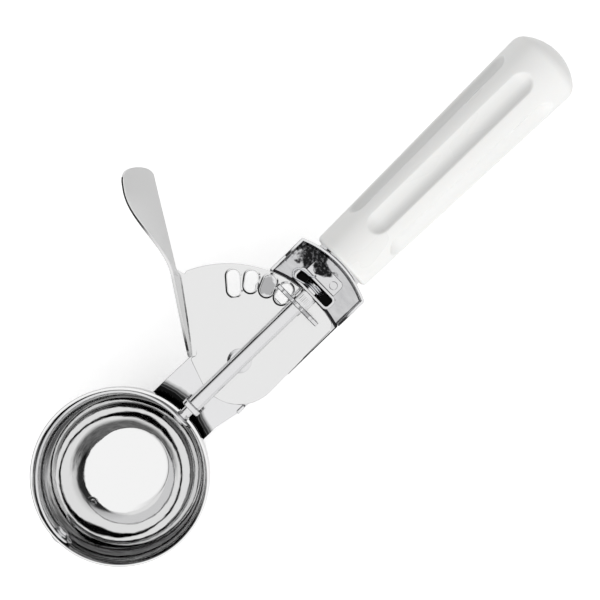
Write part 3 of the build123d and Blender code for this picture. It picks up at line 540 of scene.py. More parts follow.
def sheet(middle, thickness=SHEET_T, edge=SHEET_EDGE, wrap=False):
    """Sheet metal round a grid of mid-surface points: two faces at half the thickness along the
    normal, and between them edges rounded by arcs. wrap closes the grid along its rows."""
    along = slopes(middle, 0, wrap)
    across = slopes(middle, 1, False)
    normal = unit(np.cross(along, across))
    out = np.zeros_like(middle)
    room = np.full(middle.shape[:2], edge)
    borders = [(np.s_[:, 0], np.s_[:, 1]), (np.s_[:, -1], np.s_[:, -2])]
    if not wrap:
        borders += [(np.s_[0, :], np.s_[1, :]), (np.s_[-1, :], np.s_[-2, :])]
    for number, (border, beside) in enumerate(borders):
        tangent = unit((along if number < 2 else across)[border])
        away = middle[border] - middle[beside]
        away = away - (away * tangent).sum(axis=-1, keepdims=True) * tangent
        room[border] = np.minimum(room[border], 0.45 * np.linalg.norm(away, axis=-1))
        out[border] += unit(away)
    room = room[..., None]
    half = thickness / 2
    front = middle + normal * half - out * room
    back = middle - normal * half - out * room
    parts = [grid(front, normal), grid(back, -normal)]
    if wrap:
        parts = [
            grid(front.transpose(1, 0, 2), normal.transpose(1, 0, 2), wrap=True),
            grid(back.transpose(1, 0, 2), -normal.transpose(1, 0, 2), wrap=True),
        ]
        loops = [np.s_[:, 0], np.s_[:, -1]]
    else:
        rows, columns = middle.shape[:2]
        down = [(row, 0) for row in range(rows - 1)]
        right = [(rows - 1, column) for column in range(columns - 1)]
        back_up = [(row, columns - 1) for row in range(rows - 1, 0, -1)]
        left = [(0, column) for column in range(columns - 1, 0, -1)]
        loops = [tuple(np.array(down + right + back_up + left).T)]
    turn = np.radians(np.linspace(0, 90, 5))
    for loop in loops:
        rows_of_edge = []
        edge_normals = []
        for side in (1, -1):
            for angle in turn[::side]:
                sunk = (1 - math.sin(angle)) * room[loop]
                lowered = half - (1 - math.cos(angle)) * room[loop]
                rows_of_edge.append(middle[loop] - out[loop] * sunk + side * normal[loop] * lowered)
                edge_normals.append(
                    unit(out[loop]) * math.sin(angle) + side * normal[loop] * math.cos(angle)
                )
        parts.append(grid(np.array(rows_of_edge), np.array(edge_normals), wrap=True))
    return parts


def blank(outline, holes, low, high, edge=SHEET_EDGE):
    """A flat blank between two heights, cut along an outline and holes, each given as points and
    right-hand normals; the outline runs anticlockwise and the holes clockwise."""
    turn = np.radians(np.linspace(0, 90, 5))
    parts = []
    caps = []
    for points, normals in [outline, *holes]:
        rows = []
        row_normals = []
        for height, side in ((high, 1), (low, -1)):
            for angle in turn[::side]:
                flat_points = points - normals * edge * (1 - math.sin(angle))
                level = np.full((len(points), 1), height - side * edge * (1 - math.cos(angle)))
                rows.append(np.hstack([flat_points, level]))
                lean = np.full((len(points), 1), side * math.cos(angle))
                row_normals.append(np.hstack([normals * math.sin(angle), lean]))
        parts.append(grid(np.array(rows), np.array(row_normals), wrap=True))
        caps.append((rows[0], rows[-1]))
    for level, side in ((0, 1.0), (1, -1.0)):
        loops = [[Vector(point) for point in cap[level]] for cap in caps]
        points = np.concatenate([cap[level] for cap in caps])
        triangles = np.array(tessellate_polygon(loops))
        normals = np.zeros_like(points)
        normals[:, 2] = side
        parts.append((points, normals, [triangles]))
    return parts


def box_mask(tree, place, centre, half, soft):
    """1 inside a box of half sizes round a centre, 0 beyond soft millimetres outside it."""
    moved = add(
        tree,
        "ShaderNodeVectorMath",
        {"operation": "SUBTRACT"},
        _0=place,
        _1=tuple(v * MM for v in centre),
    )
    size = add(tree, "ShaderNodeVectorMath", {"operation": "ABSOLUTE"}, _0=moved.outputs[0])
    over = add(
        tree,
        "ShaderNodeVectorMath",
        {"operation": "SUBTRACT"},
        _0=size.outputs[0],
        _1=tuple(v * MM for v in half),
    )
    split = add(tree, "ShaderNodeSeparateXYZ", _0=over.outputs[0])
    wide = add(tree, "ShaderNodeMath", {"operation": "MAXIMUM"}, _0=split.outputs[0], _1=split.outputs[1])
    widest = add(tree, "ShaderNodeMath", {"operation": "MAXIMUM"}, _0=wide.outputs[0], _1=split.outputs[2])
    return add(
        tree,
        "ShaderNodeMapRange",
        Value=widest.outputs[0],
        From_Min=0.0,
        From_Max=soft * MM,
        To_Min=1.0,
        To_Max=0.0,
    ).outputs[0]


def ball_mask(tree, place, centre, size, inner, outer):
    """1 inside a ragged-edged ellipsoid round a centre, 0 outside; inner and outer are shares."""
    moved = add(
        tree,
        "ShaderNodeVectorMath",
        {"operation": "SUBTRACT"},
        _0=place,
        _1=tuple(v * MM for v in centre),
    )
    away = add(
        tree, "ShaderNodeVectorMath", {"operation": "LENGTH"}, _0=scaled(tree, moved.outputs[0], size)
    )
    ragged = add(tree, "ShaderNodeTexNoise", Vector=scaled(tree, place, (5, 5, 5)), Scale=1.0, Detail=3.0)
    reach = add(
        tree,
        "ShaderNodeMath",
        {"operation": "MULTIPLY_ADD"},
        _0=ragged.outputs["Fac"],
        _1=1.6,
        _2=away.outputs["Value"],
    )
    return add(
        tree,
        "ShaderNodeMapRange",
        {"interpolation_type": "SMOOTHSTEP"},
        Value=reach.outputs[0],
        From_Min=inner + 0.8,
        From_Max=outer + 0.8,
        To_Min=1.0,
        To_Max=0.0,
    ).outputs[0]


def marked(tree, shader, place, size, detail, strength, depth, gloss, under=None):
    """Fine marks on a metal: noise of a size in millimetres raises the skin by up to depth and
    moves its roughness between the two values of gloss. under is a normal that they lie on."""
    marks = add(
        tree, "ShaderNodeTexNoise", Vector=scaled(tree, place, size), Scale=1.0, Detail=detail
    ).outputs[0]
    raised = add(tree, "ShaderNodeBump", Height=marks, Strength=strength, Distance=depth * MM)
    if under:
        tree.links.new(under, raised.inputs["Normal"])
    dull = add(
        tree,
        "ShaderNodeMapRange",
        Value=marks,
        From_Min=0.3,
        From_Max=0.7,
        To_Min=gloss[0],
        To_Max=gloss[1],
    )
    tree.links.new(dull.outputs[0], shader.inputs["Roughness"])
    tree.links.new(raised.outputs[0], shader.inputs["Normal"])


def pressed_finish(name):
    """Pressed stainless sheet, polished but not as flat as the bowl: fine rolling lines along the
    tool and gentle waves. Returned with its tree, shader and coordinates, for the painted shade
    and reflections laid over it."""
    material, tree, shader, place = metal(name, "D9D9DA", 0.08)
    waves = add(tree, "ShaderNodeTexNoise", Vector=scaled(tree, place, (14, 9, 9)), Scale=1.0, Detail=2.0)
    wavy = add(tree, "ShaderNodeBump", Height=waves.outputs["Fac"], Strength=0.25, Distance=0.5 * MM)
    marked(tree, shader, place, (9, 0.16, 0.16), 3.0, 0.05, 0.02, (0.05, 0.14), wavy.outputs[0])
    return material, tree, shader, place


def painted_dark_patch(tree, place):
    """A painted patch of dark reflection and shade on steel: nearly black, with lighter specks about 1 mm
    across.
    """
    specks = add(
        tree, "ShaderNodeTexNoise", Vector=scaled(tree, place, (1.1, 1.1, 1.1)), Scale=1.0, Detail=4.0
    )
    thin = add(
        tree, "ShaderNodeMapRange", Value=specks.outputs["Fac"], From_Min=0.5, From_Max=0.72
    ).outputs[0]
    return add(
        tree, "ShaderNodeMix", {"data_type": "RGBA"}, Factor=thin, _6="1B1B1C", _7="6A6A6C"
    ).outputs[2]


def shank_steel():
    """The shank's sheet, with light and shade painted into its colour: dark reflection bands round
    the neck beside the bowl, mottled shade at the end of the trough, a dark reflection on the floor
    behind the cage, shade inside the cage and under the sector plate's third slot, and shadow lines
    just beyond the plate's curved and right-hand edges. Each is a colour laid over the last by its
    mask."""
    material, tree, shader, place = pressed_finish("polished stainless sheet of the shank")
    end_mottle = add(
        tree, "ShaderNodeTexNoise", Vector=scaled(tree, place, (3, 7, 7)), Scale=1.0, Detail=4.0
    ).outputs[0]
    painted_end_shade = add(
        tree, "ShaderNodeMix", {"data_type": "RGBA"}, Factor=end_mottle, _6="A9A9AB", _7="D2D2D3"
    ).outputs[2]
    from_arc = add(
        tree, "ShaderNodeVectorMath", {"operation": "DISTANCE"}, _0=place, _1=tuple(v * MM for v in EDGE_SHADOW_AT)
    ).outputs["Value"]
    painted_edge_shadow = add(
        tree, "ShaderNodeMath", {"operation": "COMPARE"}, _0=from_arc, _1=EDGE_SHADOW_R * MM, _2=EDGE_SHADOW_HALF_W * MM
    ).outputs[0]
    colour = "D9D9DA"
    for mask, stain in (
        # Painted shade: the trough's end mottled darker.
        (box_mask(tree, place, *SHADED_END_BOX, 2.0), painted_end_shade),
        # Painted dark reflection on the floor behind the cage.
        (ball_mask(tree, place, DARK_PATCH_AT, DARK_PATCH_SIZE, 0.75, 0.92), painted_dark_patch(tree, place)),
        # Painted shade on the floor under the sector plate's third slot.
        (ball_mask(tree, place, SHADED_SPOT_AT, (4.5, 4.5, 3.0), 0.8, 1.0), "A6A6A7"),
        # Painted shadow: a dark line just beyond the plate's curved edge.
        (painted_edge_shadow, "262627"),
        # Painted shade: the floor inside the cage nearly black.
        (box_mask(tree, place, (103.4, 0, FLOOR_MID), (3.0, 9.0, 1.2), 0.3), "0C0C0C"),
        # Painted shadow: a dark strip along the plate's right-hand edge.
        (box_mask(tree, place, (86.5, -17.2, FLOOR_MID), (13.4, 0.42, 1.2), 0.15), "2A2A2A"),
    ):
        colour = add(
            tree, "ShaderNodeMix", {"data_type": "RGBA"}, Factor=mask, _6=colour, _7=stain
        ).outputs[2]
    flat_place = add(
        tree, "ShaderNodeVectorMath", {"operation": "MULTIPLY"}, _0=place, _1=(1, 1, 0)
    ).outputs[0]
    rho = add(tree, "ShaderNodeVectorMath", {"operation": "LENGTH"}, _0=flat_place).outputs["Value"]
    wobble = add(tree, "ShaderNodeTexNoise", Vector=scaled(tree, place, (4, 4, 4)), Scale=1.0, Detail=2.0)
    shifted = add(
        tree,
        "ShaderNodeMath",
        {"operation": "MULTIPLY_ADD"},
        _0=wobble.outputs["Fac"],
        _1=-1.0 * MM,
        _2=rho,
    ).outputs[0]
    split = add(tree, "ShaderNodeSeparateXYZ", _0=place)
    right = add(
        tree,
        "ShaderNodeMapRange",
        Value=split.outputs[1],
        From_Min=-2 * MM,
        From_Max=-6 * MM,
        To_Max=1.5 * MM,
    )
    moved = add(tree, "ShaderNodeMath", {"operation": "ADD"}, _0=shifted, _1=right.outputs[0]).outputs[0]
    outwards = add(
        tree, "ShaderNodeMapRange", Value=moved, From_Min=35.0 * MM, From_Max=41.0 * MM
    ).outputs[0]
    # Painted reflection: dark and light bands round the neck beside the bowl, where its bend mirrors dark
    # surroundings.
    reflection_band_levels = [
        (0.0, 0.01),
        (0.22, 0.01),
        (0.25, 0.16),
        (0.29, 0.03),
        (0.4, 0.05),
        (0.46, 0.3),
        (0.52, 0.12),
        (0.62, 0.55),
        (0.8, 1.0),
    ]
    painted_reflection_bands = add(tree, "ShaderNodeValToRGB", stops=reflection_band_levels, Fac=outwards).outputs[0]
    darkened = add(
        tree,
        "ShaderNodeMix",
        {"data_type": "RGBA", "blend_type": "MULTIPLY"},
        Factor=1.0,
        _6=colour,
        _7=painted_reflection_bands,
    )
    tree.links.new(darkened.outputs[2], shader.inputs["Base Color"])
    return material


def cage_steel():
    """The cage's sheet: bright outside and on its edges, with shade painted in: nearly black inside,
    and dark with lighter specks on part of its foot.
    """
    material, tree, shader, place = pressed_finish("polished stainless sheet of the cage")
    # Painted shade: the cage's inside coloured nearly black.
    inside = box_mask(tree, place, (103.6, 0, -6), (2.05, 8.55, 6.1), 0.15)
    # Painted shade: a dark, specked patch on the foot.
    painted_foot_shade = ball_mask(tree, place, (111.0, 3.2, -13.5), (3.6, 5.2, 3.0), 0.7, 0.95)
    colour = add(
        tree, "ShaderNodeMix", {"data_type": "RGBA"}, Factor=painted_foot_shade, _6="D0D0D1", _7=painted_dark_patch(tree, place)
    )
    dark = add(
        tree, "ShaderNodeMix", {"data_type": "RGBA"}, Factor=inside, _6=colour.outputs[2], _7="141414"
    )
    tree.links.new(dark.outputs[2], shader.inputs["Base Color"])
    return material


def neck_sheet():
    """Tongue, bend and start of the floor, turned about the bowl's axis. Along the profile the
    mid-line is an arc round the bowl, an arc of the bend, and a level run; across it, y goes from
    the right-hand edge to the left-hand one and x = sqrt(rho^2 - y^2)."""
    ball = BOWL_R + SHEET_T / 2
    bend_z = FLOOR_MID - NECK_BEND_R
    bend_x = math.sqrt((ball + NECK_BEND_R) ** 2 - (SHAFT_Z - bend_z) ** 2)
    meet = math.atan2(SHAFT_Z - bend_z, bend_x)
    under = np.linspace(TONGUE_TURN, meet, 60)
    over = np.linspace(math.pi - meet, math.pi / 2, 30)[1:]
    level = np.linspace(0, SHOULDER_X + 3 - bend_x, 12)[1:]
    rho = np.concatenate([ball * np.cos(under), bend_x + NECK_BEND_R * np.cos(over), bend_x + level])
    height = np.concatenate(
        [SHAFT_Z - ball * np.sin(under), bend_z + NECK_BEND_R * np.sin(over), FLOOR_MID + 0 * level]
    )
    height = height - TUCK * (rho > bend_x)
    tip = np.clip((TONGUE_TIP_R - rho) / (TONGUE_TIP_R - rho[0] + 0.05), 0, 1)
    narrowing = np.sqrt(1 - tip**2)
    share = np.clip((rho - NECK_END_R) / (SHOULDER_X + 2.0 - NECK_END_R), 0, 1)
    left = (NECK_LEFT_W + (SHOULDER_HALF_W - NECK_LEFT_W) * share) * narrowing
    right = (NECK_RIGHT_W + (SHOULDER_HALF_W - NECK_RIGHT_W) * share) * narrowing
    side = np.linspace(-right, left, 40, axis=1)
    x = np.sqrt(np.maximum(rho[:, None] ** 2 - side**2, 0))
    return sheet(np.stack([x, side, height[:, None] + 0 * side], axis=-1))


def wall_line(inset):
    """The walls' line seen from above, moved inwards: left wall, end arc, right wall."""
    half = SHANK_HALF_W - SHEET_T / 2 - inset
    radius = END_ARC_R - SHEET_T / 2 - inset
    swing = math.degrees(math.asin(half / radius))
    curve = arc((END_ARC_X, 0), radius, swing, -swing, 41)
    corners = np.vstack([[(RELIEF_X, half)], curve, [(RIGHT_WALL_X, -half)]])
    return rounded(corners, 1.0, closed=False)[0]


def upturned(line, top, bend, run=1.0):
    """A sheet that leaves the floor, turns up through a quarter bend and rises to its top; line
    gives its plan at any inset from the wall."""
    turn = np.linspace(0, math.pi / 2, 9)
    insets = np.concatenate([[bend + run], bend - bend * np.sin(turn), np.zeros(8)])
    bend_z = FLOOR_MID + bend - bend * np.cos(turn)
    rise = np.linspace(FLOOR_MID + bend, top, 9)[1:]
    heights = np.concatenate([[FLOOR_MID], bend_z, rise]) - TUCK
    rows = [
        np.column_stack([line(inset), np.full(len(line(inset)), z)]) for inset, z in zip(insets, heights)
    ]
    return sheet(np.array(rows).transpose(1, 0, 2))


def trough_floor():
    """The level floor with its window under the pinion, out to where the walls' bends begin."""
    inner = wall_line(WALL_BEND_R)[::-1]
    front = [
        (SHOULDER_X - 2, SHOULDER_HALF_W),
        (SHOULDER_X - 2, -SHOULDER_HALF_W),
        (RIGHT_STEP_X - STEP_L, -SHOULDER_HALF_W),
        (RIGHT_STEP_X, -SHANK_HALF_W),
        (RIGHT_WALL_X, -SHANK_HALF_W),
    ]
    back = [(RELIEF_X, SHANK_HALF_W), (LEFT_STEP_X, SHANK_HALF_W), (LEFT_STEP_X - STEP_L, SHOULDER_HALF_W)]
    outline = rounded(np.vstack([front, inner, back]), 0.6)
    window = [(90.25, -10.3), (90.25, 10.3), (98.75, 10.3), (98.75, -10.3)]
    return blank(outline, [rounded(window, 0.8)], FLOOR_MID - SHEET_T / 2, FLOOR_MID + SHEET_T / 2)


def hanging_wall():
    """The front of the left wall, which hangs over the sweep of the sector plate."""
    x = np.linspace(LEFT_WALL_X, RELIEF_X + 1.0, 10)
    z = np.linspace(-11.65, WALL_TOP, 12)
    side = SHANK_HALF_W - SHEET_T / 2
    middle = np.stack(np.broadcast_arrays(x[:, None], side, z[None, :]), axis=-1)
    return sheet(middle, SHEET_T - 2 * TUCK)


def tab_line(inset):
    """Plan of the small upright tab at the right-hand edge, behind the bowl."""
    x = np.linspace(48.4, 52.0, 8)
    return np.column_stack([x, np.full(8, -(SHOULDER_HALF_W - SHEET_T / 2 - inset))])


shank_parts = (
    neck_sheet() + trough_floor() + upturned(wall_line, WALL_TOP, WALL_BEND_R) + hanging_wall()
    + upturned(tab_line, -9.75, 1.0)
)
build("shank_pressing", shank_parts, shank_steel(), "frame", "polished_sheet", "shank")


# ---- Front bearing: a small rounded plate that stands on the neck just behind the bowl, with the
# bore in which the shaft's thin end turns.
def stood(parts, height=SHAFT_Z):
    """Parts drawn flat, stood up square to the shaft: x, y and z become y, z and x."""
    turned_parts = []
    for points, normals, faces in parts:
        points = points[:, [2, 0, 1]] + np.array([0, 0, height])
        turned_parts.append((points, normals[:, [2, 0, 1]], faces))
    return turned_parts


def circle(centre, radius, count=64):
    """A round hole as points and normals that face its middle, run clockwise."""
    angles = np.linspace(0, -2 * math.pi, count, endpoint=False)
    spokes = np.stack([np.cos(angles), np.sin(angles)], axis=-1)
    return np.array(centre) + radius * spokes, -spokes


def turned_steel():
    """Turned bar steel: fine tool marks round the shaft every half millimetre or so, a soft
    sheen, and slight differences in brightness from one mark to the next."""
    material, tree, shader, place = metal("turned stainless steel", "D6D6D7", 0.14)
    marked(tree, shader, place, (0.22, 6, 6), 4.0, 0.12, 0.03, (0.08, 0.2))
    return material


bar_steel = turned_steel()
BEARING_X = (36.9, 38.9)
bearing_corners = [(-4.0, -10.4), (4.0, -10.4), (4.0, 3.8), (-4.0, 3.8)]
bearing_outline = rounded(bearing_corners, 2.6)
bearing_parts = stood(blank(bearing_outline, [circle((0, 0), 2.25)], *BEARING_X, edge=0.4))
build("front_bearing_plate", bearing_parts, bar_steel, "frame", "machined_steel", "front_bearing")


# ---- Rear bearing cage: a pressed ring of sheet round the shaft's end, standing on a foot that
# is riveted to the floor. Shade is painted nearly black into its inside and onto part of its foot.
CAGE_T = 1.1
CAGE_X = (100.6, 106.6)
CAGE_HALF_W = 9.5
CAGE_ROUND = 2.2
CAGE_Z = (-11.65, 0.3)
FOOT_X = 113.2
FOOT_HALF_W = 7.5


def cage_ring():
    """The cage: a rounded rectangle's mid-line, raised from its low to its top edge."""
    half = CAGE_T / 2
    corners = [
        (CAGE_X[0] + half, CAGE_HALF_W - half),
        (CAGE_X[0] + half, half - CAGE_HALF_W),
        (CAGE_X[1] - half, half - CAGE_HALF_W),
        (CAGE_X[1] - half, CAGE_HALF_W - half),
    ]
    line = rounded(corners, CAGE_ROUND - half)[0]
    fine = np.concatenate(
        [np.linspace(a, b, 4, endpoint=False) for a, b in zip(line, np.roll(line, -1, axis=0))]
    )
    heights = np.linspace(*CAGE_Z, 14)
    plan = np.broadcast_to(fine[:, None, :], (len(fine), len(heights), 2))
    level = np.broadcast_to(heights[None, :, None], (len(fine), len(heights), 1))
    return sheet(np.concatenate([plan, level], axis=-1), CAGE_T, wrap=True)


def cage_foot():
    """The foot: the back wall goes on down, bends and runs back along the floor."""
    bend = 1.4
    low = FLOOR_MID + SHEET_T / 2 + CAGE_T / 2
    wall_x = CAGE_X[1] - CAGE_T / 2 - TUCK
    turn = np.linspace(math.pi, 1.5 * math.pi, 9)
    down = np.linspace(CAGE_Z[0] + 1.0, low + bend, 6)[:-1]
    back = np.linspace(wall_x + bend, FOOT_X, 8)[1:]
    x = np.concatenate([0 * down + wall_x, wall_x + bend + bend * np.cos(turn), back])
    z = np.concatenate([down, low + bend + bend * np.sin(turn), 0 * back + low])
    rounding = np.sqrt(np.clip(1 - np.clip((x - FOOT_X + 2.0) / 2.05, 0, 1) ** 2, 0, 1))
    reach = FOOT_HALF_W - 2.0 * (1 - rounding)
    y = np.linspace(-reach, reach, 24, axis=1)
    return sheet(np.stack([x[:, None] + 0 * y, y, z[:, None] + 0 * y], axis=-1), CAGE_T)


cage_finish = cage_steel()
build("bearing_cage", cage_ring() + cage_foot(), cage_finish, "frame", "polished_sheet", "bearing_bracket")


# ---- Pivot rivet: the sector plate turns on it; its low domed head shows beside the shaft.
def turned_piece(corners, radius, along="z", centre=(0.0, 0.0), count=72):
    """A turned piece from its half profile of (radius, place along the axis), low end first."""
    profile, lean = rounded(corners, radius, closed=False)
    angles = np.linspace(0, 2 * math.pi, count, endpoint=False)
    around = np.stack([np.cos(angles), np.sin(angles), 0 * angles], axis=-1)
    axis = np.array([0.0, 0.0, 1.0])
    points = profile[:, None, :1] * around + profile[:, None, 1:] * axis
    normals = lean[:, None, :1] * around + lean[:, None, 1:] * axis
    if along == "x":
        points, normals = points[..., [2, 0, 1]], normals[..., [2, 0, 1]]
        points = points + np.array([0, *centre])
    else:
        points = points + np.array([*centre, 0])
    return [grid(points, normals, wrap=True)]


FOOT_TOP = FLOOR_MID + SHEET_T / 2 + CAGE_T
foot_rivet_profile = [
    (0, -16.25), (2.2, -16.25), (2.5, -15.9), (2.5, -15.35), (1.5, -15.35), (1.5, FOOT_TOP - 0.1),
    (1.9, FOOT_TOP - 0.05), (1.4, FOOT_TOP + 0.16), (0, FOOT_TOP + 0.2),
]
foot_rivets = []
for side in (-4.5, 4.5):
    foot_rivets += turned_piece(foot_rivet_profile, 0.1, "z", (109.9, side))
build("foot_rivet_heads", foot_rivets, cage_finish, "frame", "machined_steel", "bracket_rivets")

PIVOT_X = 63.0
rivet_profile = [
    (0, -16.25), (4.4, -16.25), (4.8, -15.9), (4.8, -15.35), (2.5, -15.35), (2.5, -11.95),
    (4.8, -11.95), (4.8, -11.5), (3.6, -10.85), (1.8, -10.67), (0, -10.65),
]
rivet_parts = turned_piece(rivet_profile, 0.3, "z", (PIVOT_X, 0.0))
build("pivot_rivet_head", rivet_parts, bar_steel, "frame", "machined_steel", "pivot_rivet")


# ---- Thumb lever: a sector plate with five slots, folded up along its left edge into a flange
# that runs on into the thumb pad. One pressing of fine satin sheet, with a low raised lip round
# each slot.
PLATE_Z = (-13.35, -12.15)
HUB_R = 17.2
PLATE_ARC_R = 47.2
PLATE_ARC_AT = (PIVOT_X - 9.5, -3.3)
FOLD_TURN = math.radians(55.0)
FOLD_OUT = 18.5
FOLD_START = 4.5
FOLD_END = 36.6
FOLD_BEND_R = 1.7
FOLD_INSET = 1.5  # the flange leans out by this much from its foot
PAD_LENGTH = 43.38
PAD_TIP_R = 8.7
PAD_TIP_L = 7.0
PAD_TIP_POWER = 2.6  # 2 would be an ellipse; more is squarer
PAD_TIP_Z = -3.05
SLOTS = 5
SLOT_R = 31.5  # where the slots' middles lie
SLOT_HALF_W = 2.5
SLOT_L = 8.6
LAST_SLOT_EXTRA = 1.8  # the slot beside the flange is this much longer
SLOT_TURN = math.radians(12.5)
LIP_W = 0.9
LIP_TOP_W = 0.25
LIP_H = 0.34
LIP_SHADE_REACH = 6.6  # the lips' sides with painted shade lie this near to the circle of the slots' middles


def beside_fold(along, out):
    """Plan point from its place along the fold line and its distance out from the pivot."""
    x = PIVOT_X + along * math.cos(FOLD_TURN) - out * math.sin(FOLD_TURN)
    return np.stack([x, along * math.sin(FOLD_TURN) + out * math.cos(FOLD_TURN)], axis=-1)


def slot_line(number):
    """One slot's outline run clockwise: two half circles and the straights between them."""
    extra = LAST_SLOT_EXTRA if number == SLOTS - 1 else 0.0
    middle = SLOT_R - extra / 2
    half = (SLOT_L + extra) / 2 - SLOT_HALF_W
    outer = arc((middle + half, 0), SLOT_HALF_W, 90, -90, 25)
    inner = arc((middle - half, 0), SLOT_HALF_W, -90, -270, 25)
    line = np.vstack([outer, inner])
    spokes = np.vstack([outer - (middle + half, 0), inner - (middle - half, 0)]) / SLOT_HALF_W
    turn = number * SLOT_TURN
    spin = np.array([[math.cos(turn), math.sin(turn)], [-math.sin(turn), math.cos(turn)]])
    return line @ spin + (PIVOT_X, 0), -spokes @ spin


def on_plate_arc(y):
    """The plate's outer edge at a given y."""
    return (PLATE_ARC_AT[0] + math.sqrt(PLATE_ARC_R**2 - (y - PLATE_ARC_AT[1]) ** 2), y)


def arc_between(centre, first, last, count):
    """Points of the arc about a centre from one point to another, the short way round."""
    start = math.degrees(math.atan2(first[1] - centre[1], first[0] - centre[0]))
    end = math.degrees(math.atan2(last[1] - centre[1], last[0] - centre[0]))
    end += 360 * round((start - end) / 360)
    return arc(centre, math.dist(centre, first), start, end, count)


def sector_plate():
    """The flat plate: hub curve, straight left edge, the fold, the outer arc and the right corner."""
    bend_out = FOLD_OUT + SHEET_T / 2 - FOLD_BEND_R - FOLD_INSET + 0.35
    high = beside_fold(FOLD_END, bend_out)
    high_edge = on_plate_arc(float(high[1]) + 0.6)
    right = on_plate_arc(-14.7)
    nose = (PIVOT_X - math.sqrt(HUB_R**2 - 2.6**2), 2.6)
    low = beside_fold(FOLD_START + 0.05, bend_out)
    corner = beside_fold(FOLD_START - 0.2, FOLD_OUT + SHEET_T / 2 - 0.1)
    rim = arc_between(PLATE_ARC_AT, right, high_edge, 60)
    hub = arc_between((PIVOT_X, 0), nose, (PIVOT_X, -HUB_R), 40)
    corners = np.vstack([hub, [(PIVOT_X + 33.6, -16.3)], rim, [high, low, corner]])
    holes = [slot_line(number) for number in range(SLOTS)]
    return blank(rounded(corners, 1.2), holes + [circle((PIVOT_X, 0), 2.55)], *PLATE_Z)


def slot_lip(number):
    """The lip round one slot: a section with a steep inner side, a level top and a sloping outer
    side, swept round the slot's outline."""
    line, facing = slot_line(number)
    section, lean = rounded(
        [(LIP_W, 0.0), (LIP_TOP_W, LIP_H), (0.0, LIP_H), (0.0, -0.3)], 0.14, closed=False
    )
    points = line[None] - facing[None] * section[:, None, :1]
    level = np.broadcast_to(PLATE_Z[1] + section[:, None, 1:], (*points.shape[:2], 1))
    normals = -facing[None] * lean[:, None, :1]
    up = np.broadcast_to(lean[:, None, 1:], (*points.shape[:2], 1))
    return grid(np.concatenate([points, level], axis=-1), np.concatenate([normals, up], axis=-1), wrap=True)


def flange_and_pad():
    """The fold, flange and pad. At each station along the fold the section starts in the plate's
    plane, turns up through the bend and rises straight to its top; past the plate's end the bend
    fades out, the top leans outwards and a round tip closes the pad."""
    tip_from = FOLD_END + PAD_LENGTH - PAD_TIP_L
    tip_turn = np.linspace(0, math.radians(88), 40)[1:]
    flange = np.linspace(FOLD_START, FOLD_END, 30)
    run = np.linspace(FOLD_END, tip_from, 44)[1:]
    along = np.concatenate([flange, run, tip_from + PAD_TIP_L * np.sin(tip_turn) ** (2 / PAD_TIP_POWER)])
    on_flange = np.clip((along - FOLD_START) / (FOLD_END - FOLD_START), 0, 1)
    on_pad = np.clip((along - FOLD_END) / PAD_LENGTH, 0, 1)
    low_z = PLATE_Z[0]
    inset = FOLD_INSET * (1 - eased((along - FOLD_END + 0.5) / 3.0))
    foot_out = FOLD_OUT + SHEET_T / 2 + 2.8 * on_pad - inset
    foot_z = low_z + 3.0 * on_pad**2
    top_z = low_z + 2.4 + 6.8 * on_flange**0.8 + 9.8 * eased(on_pad / 0.7)
    top_out = FOLD_OUT + SHEET_T / 2 + 0.8 * on_flange + 12.2 * eased(on_pad / 0.8)
    tip = PAD_TIP_R * np.cos(tip_turn) ** (2 / PAD_TIP_POWER)
    reach = np.concatenate([np.full(len(flange) + len(run), 100.0), tip])
    lean = (top_out - foot_out) / (top_z - foot_z)
    from_z = np.maximum(foot_z, PAD_TIP_Z - reach)
    to_z = np.minimum(top_z, PAD_TIP_Z + reach)
    fade = 1 - eased((along - FOLD_END) / 4.0)
    bend = np.linspace(0, math.pi / 2, 10)[:-1]
    rising = np.linspace(0, 1, 22)
    bend_top = from_z + (SHEET_T / 2 + FOLD_BEND_R) * fade
    bent_out = -FOLD_BEND_R * (1 - np.sin(bend))[None, :] * fade[:, None]
    bent_z = (SHEET_T / 2 + FOLD_BEND_R * (1 - np.cos(bend)))[None, :] * fade[:, None]
    start = np.stack([bent_out[:, 0] - 1.0 * fade, bent_z[:, 0]], axis=-1)[:, None]
    bent = np.stack([bent_out, bent_z], axis=-1)
    straight_z = bend_top[:, None] + (to_z - bend_top)[:, None] * rising[None, :]
    straight_out = (
        foot_out + lean * (bend_top - foot_z)
    )[:, None] + lean[:, None] * (straight_z - bend_top[:, None])
    foot = (foot_out + lean * (bend_top - foot_z))[:, None, None] * np.array([1.0, 0.0])
    base = foot + from_z[:, None, None] * np.array([0.0, 1.0])
    lower = np.concatenate([start, bent], axis=1) + base
    spread = np.linspace(0, 1, lower.shape[1])[None, :, None]
    kept = fade[:, None, None]
    fallback = base + (np.stack([straight_out[:, 0], straight_z[:, 0]], axis=-1)[:, None] - base) * spread
    lower = lower * (kept > 0) + fallback * (kept <= 0)
    upper = np.stack([straight_out, straight_z], axis=-1)
    section = np.concatenate([lower, upper], axis=1)
    section[..., 1] -= TUCK * (along < FOLD_END)[:, None]
    lengths = np.linalg.norm(np.diff(section, axis=1), axis=-1)
    at = np.hstack([np.zeros((len(along), 1)), np.cumsum(lengths, axis=1)])
    shares = np.linspace(0, 1, 34)
    middle = np.empty((len(along), len(shares), 3))
    for row, station in enumerate(along):
        out = np.interp(shares * at[row, -1], at[row], section[row, :, 0])
        middle[row, :, 2] = np.interp(shares * at[row, -1], at[row], section[row, :, 1])
        middle[row, :, :2] = beside_fold(np.full(len(shares), station), out)
    return sheet(middle)


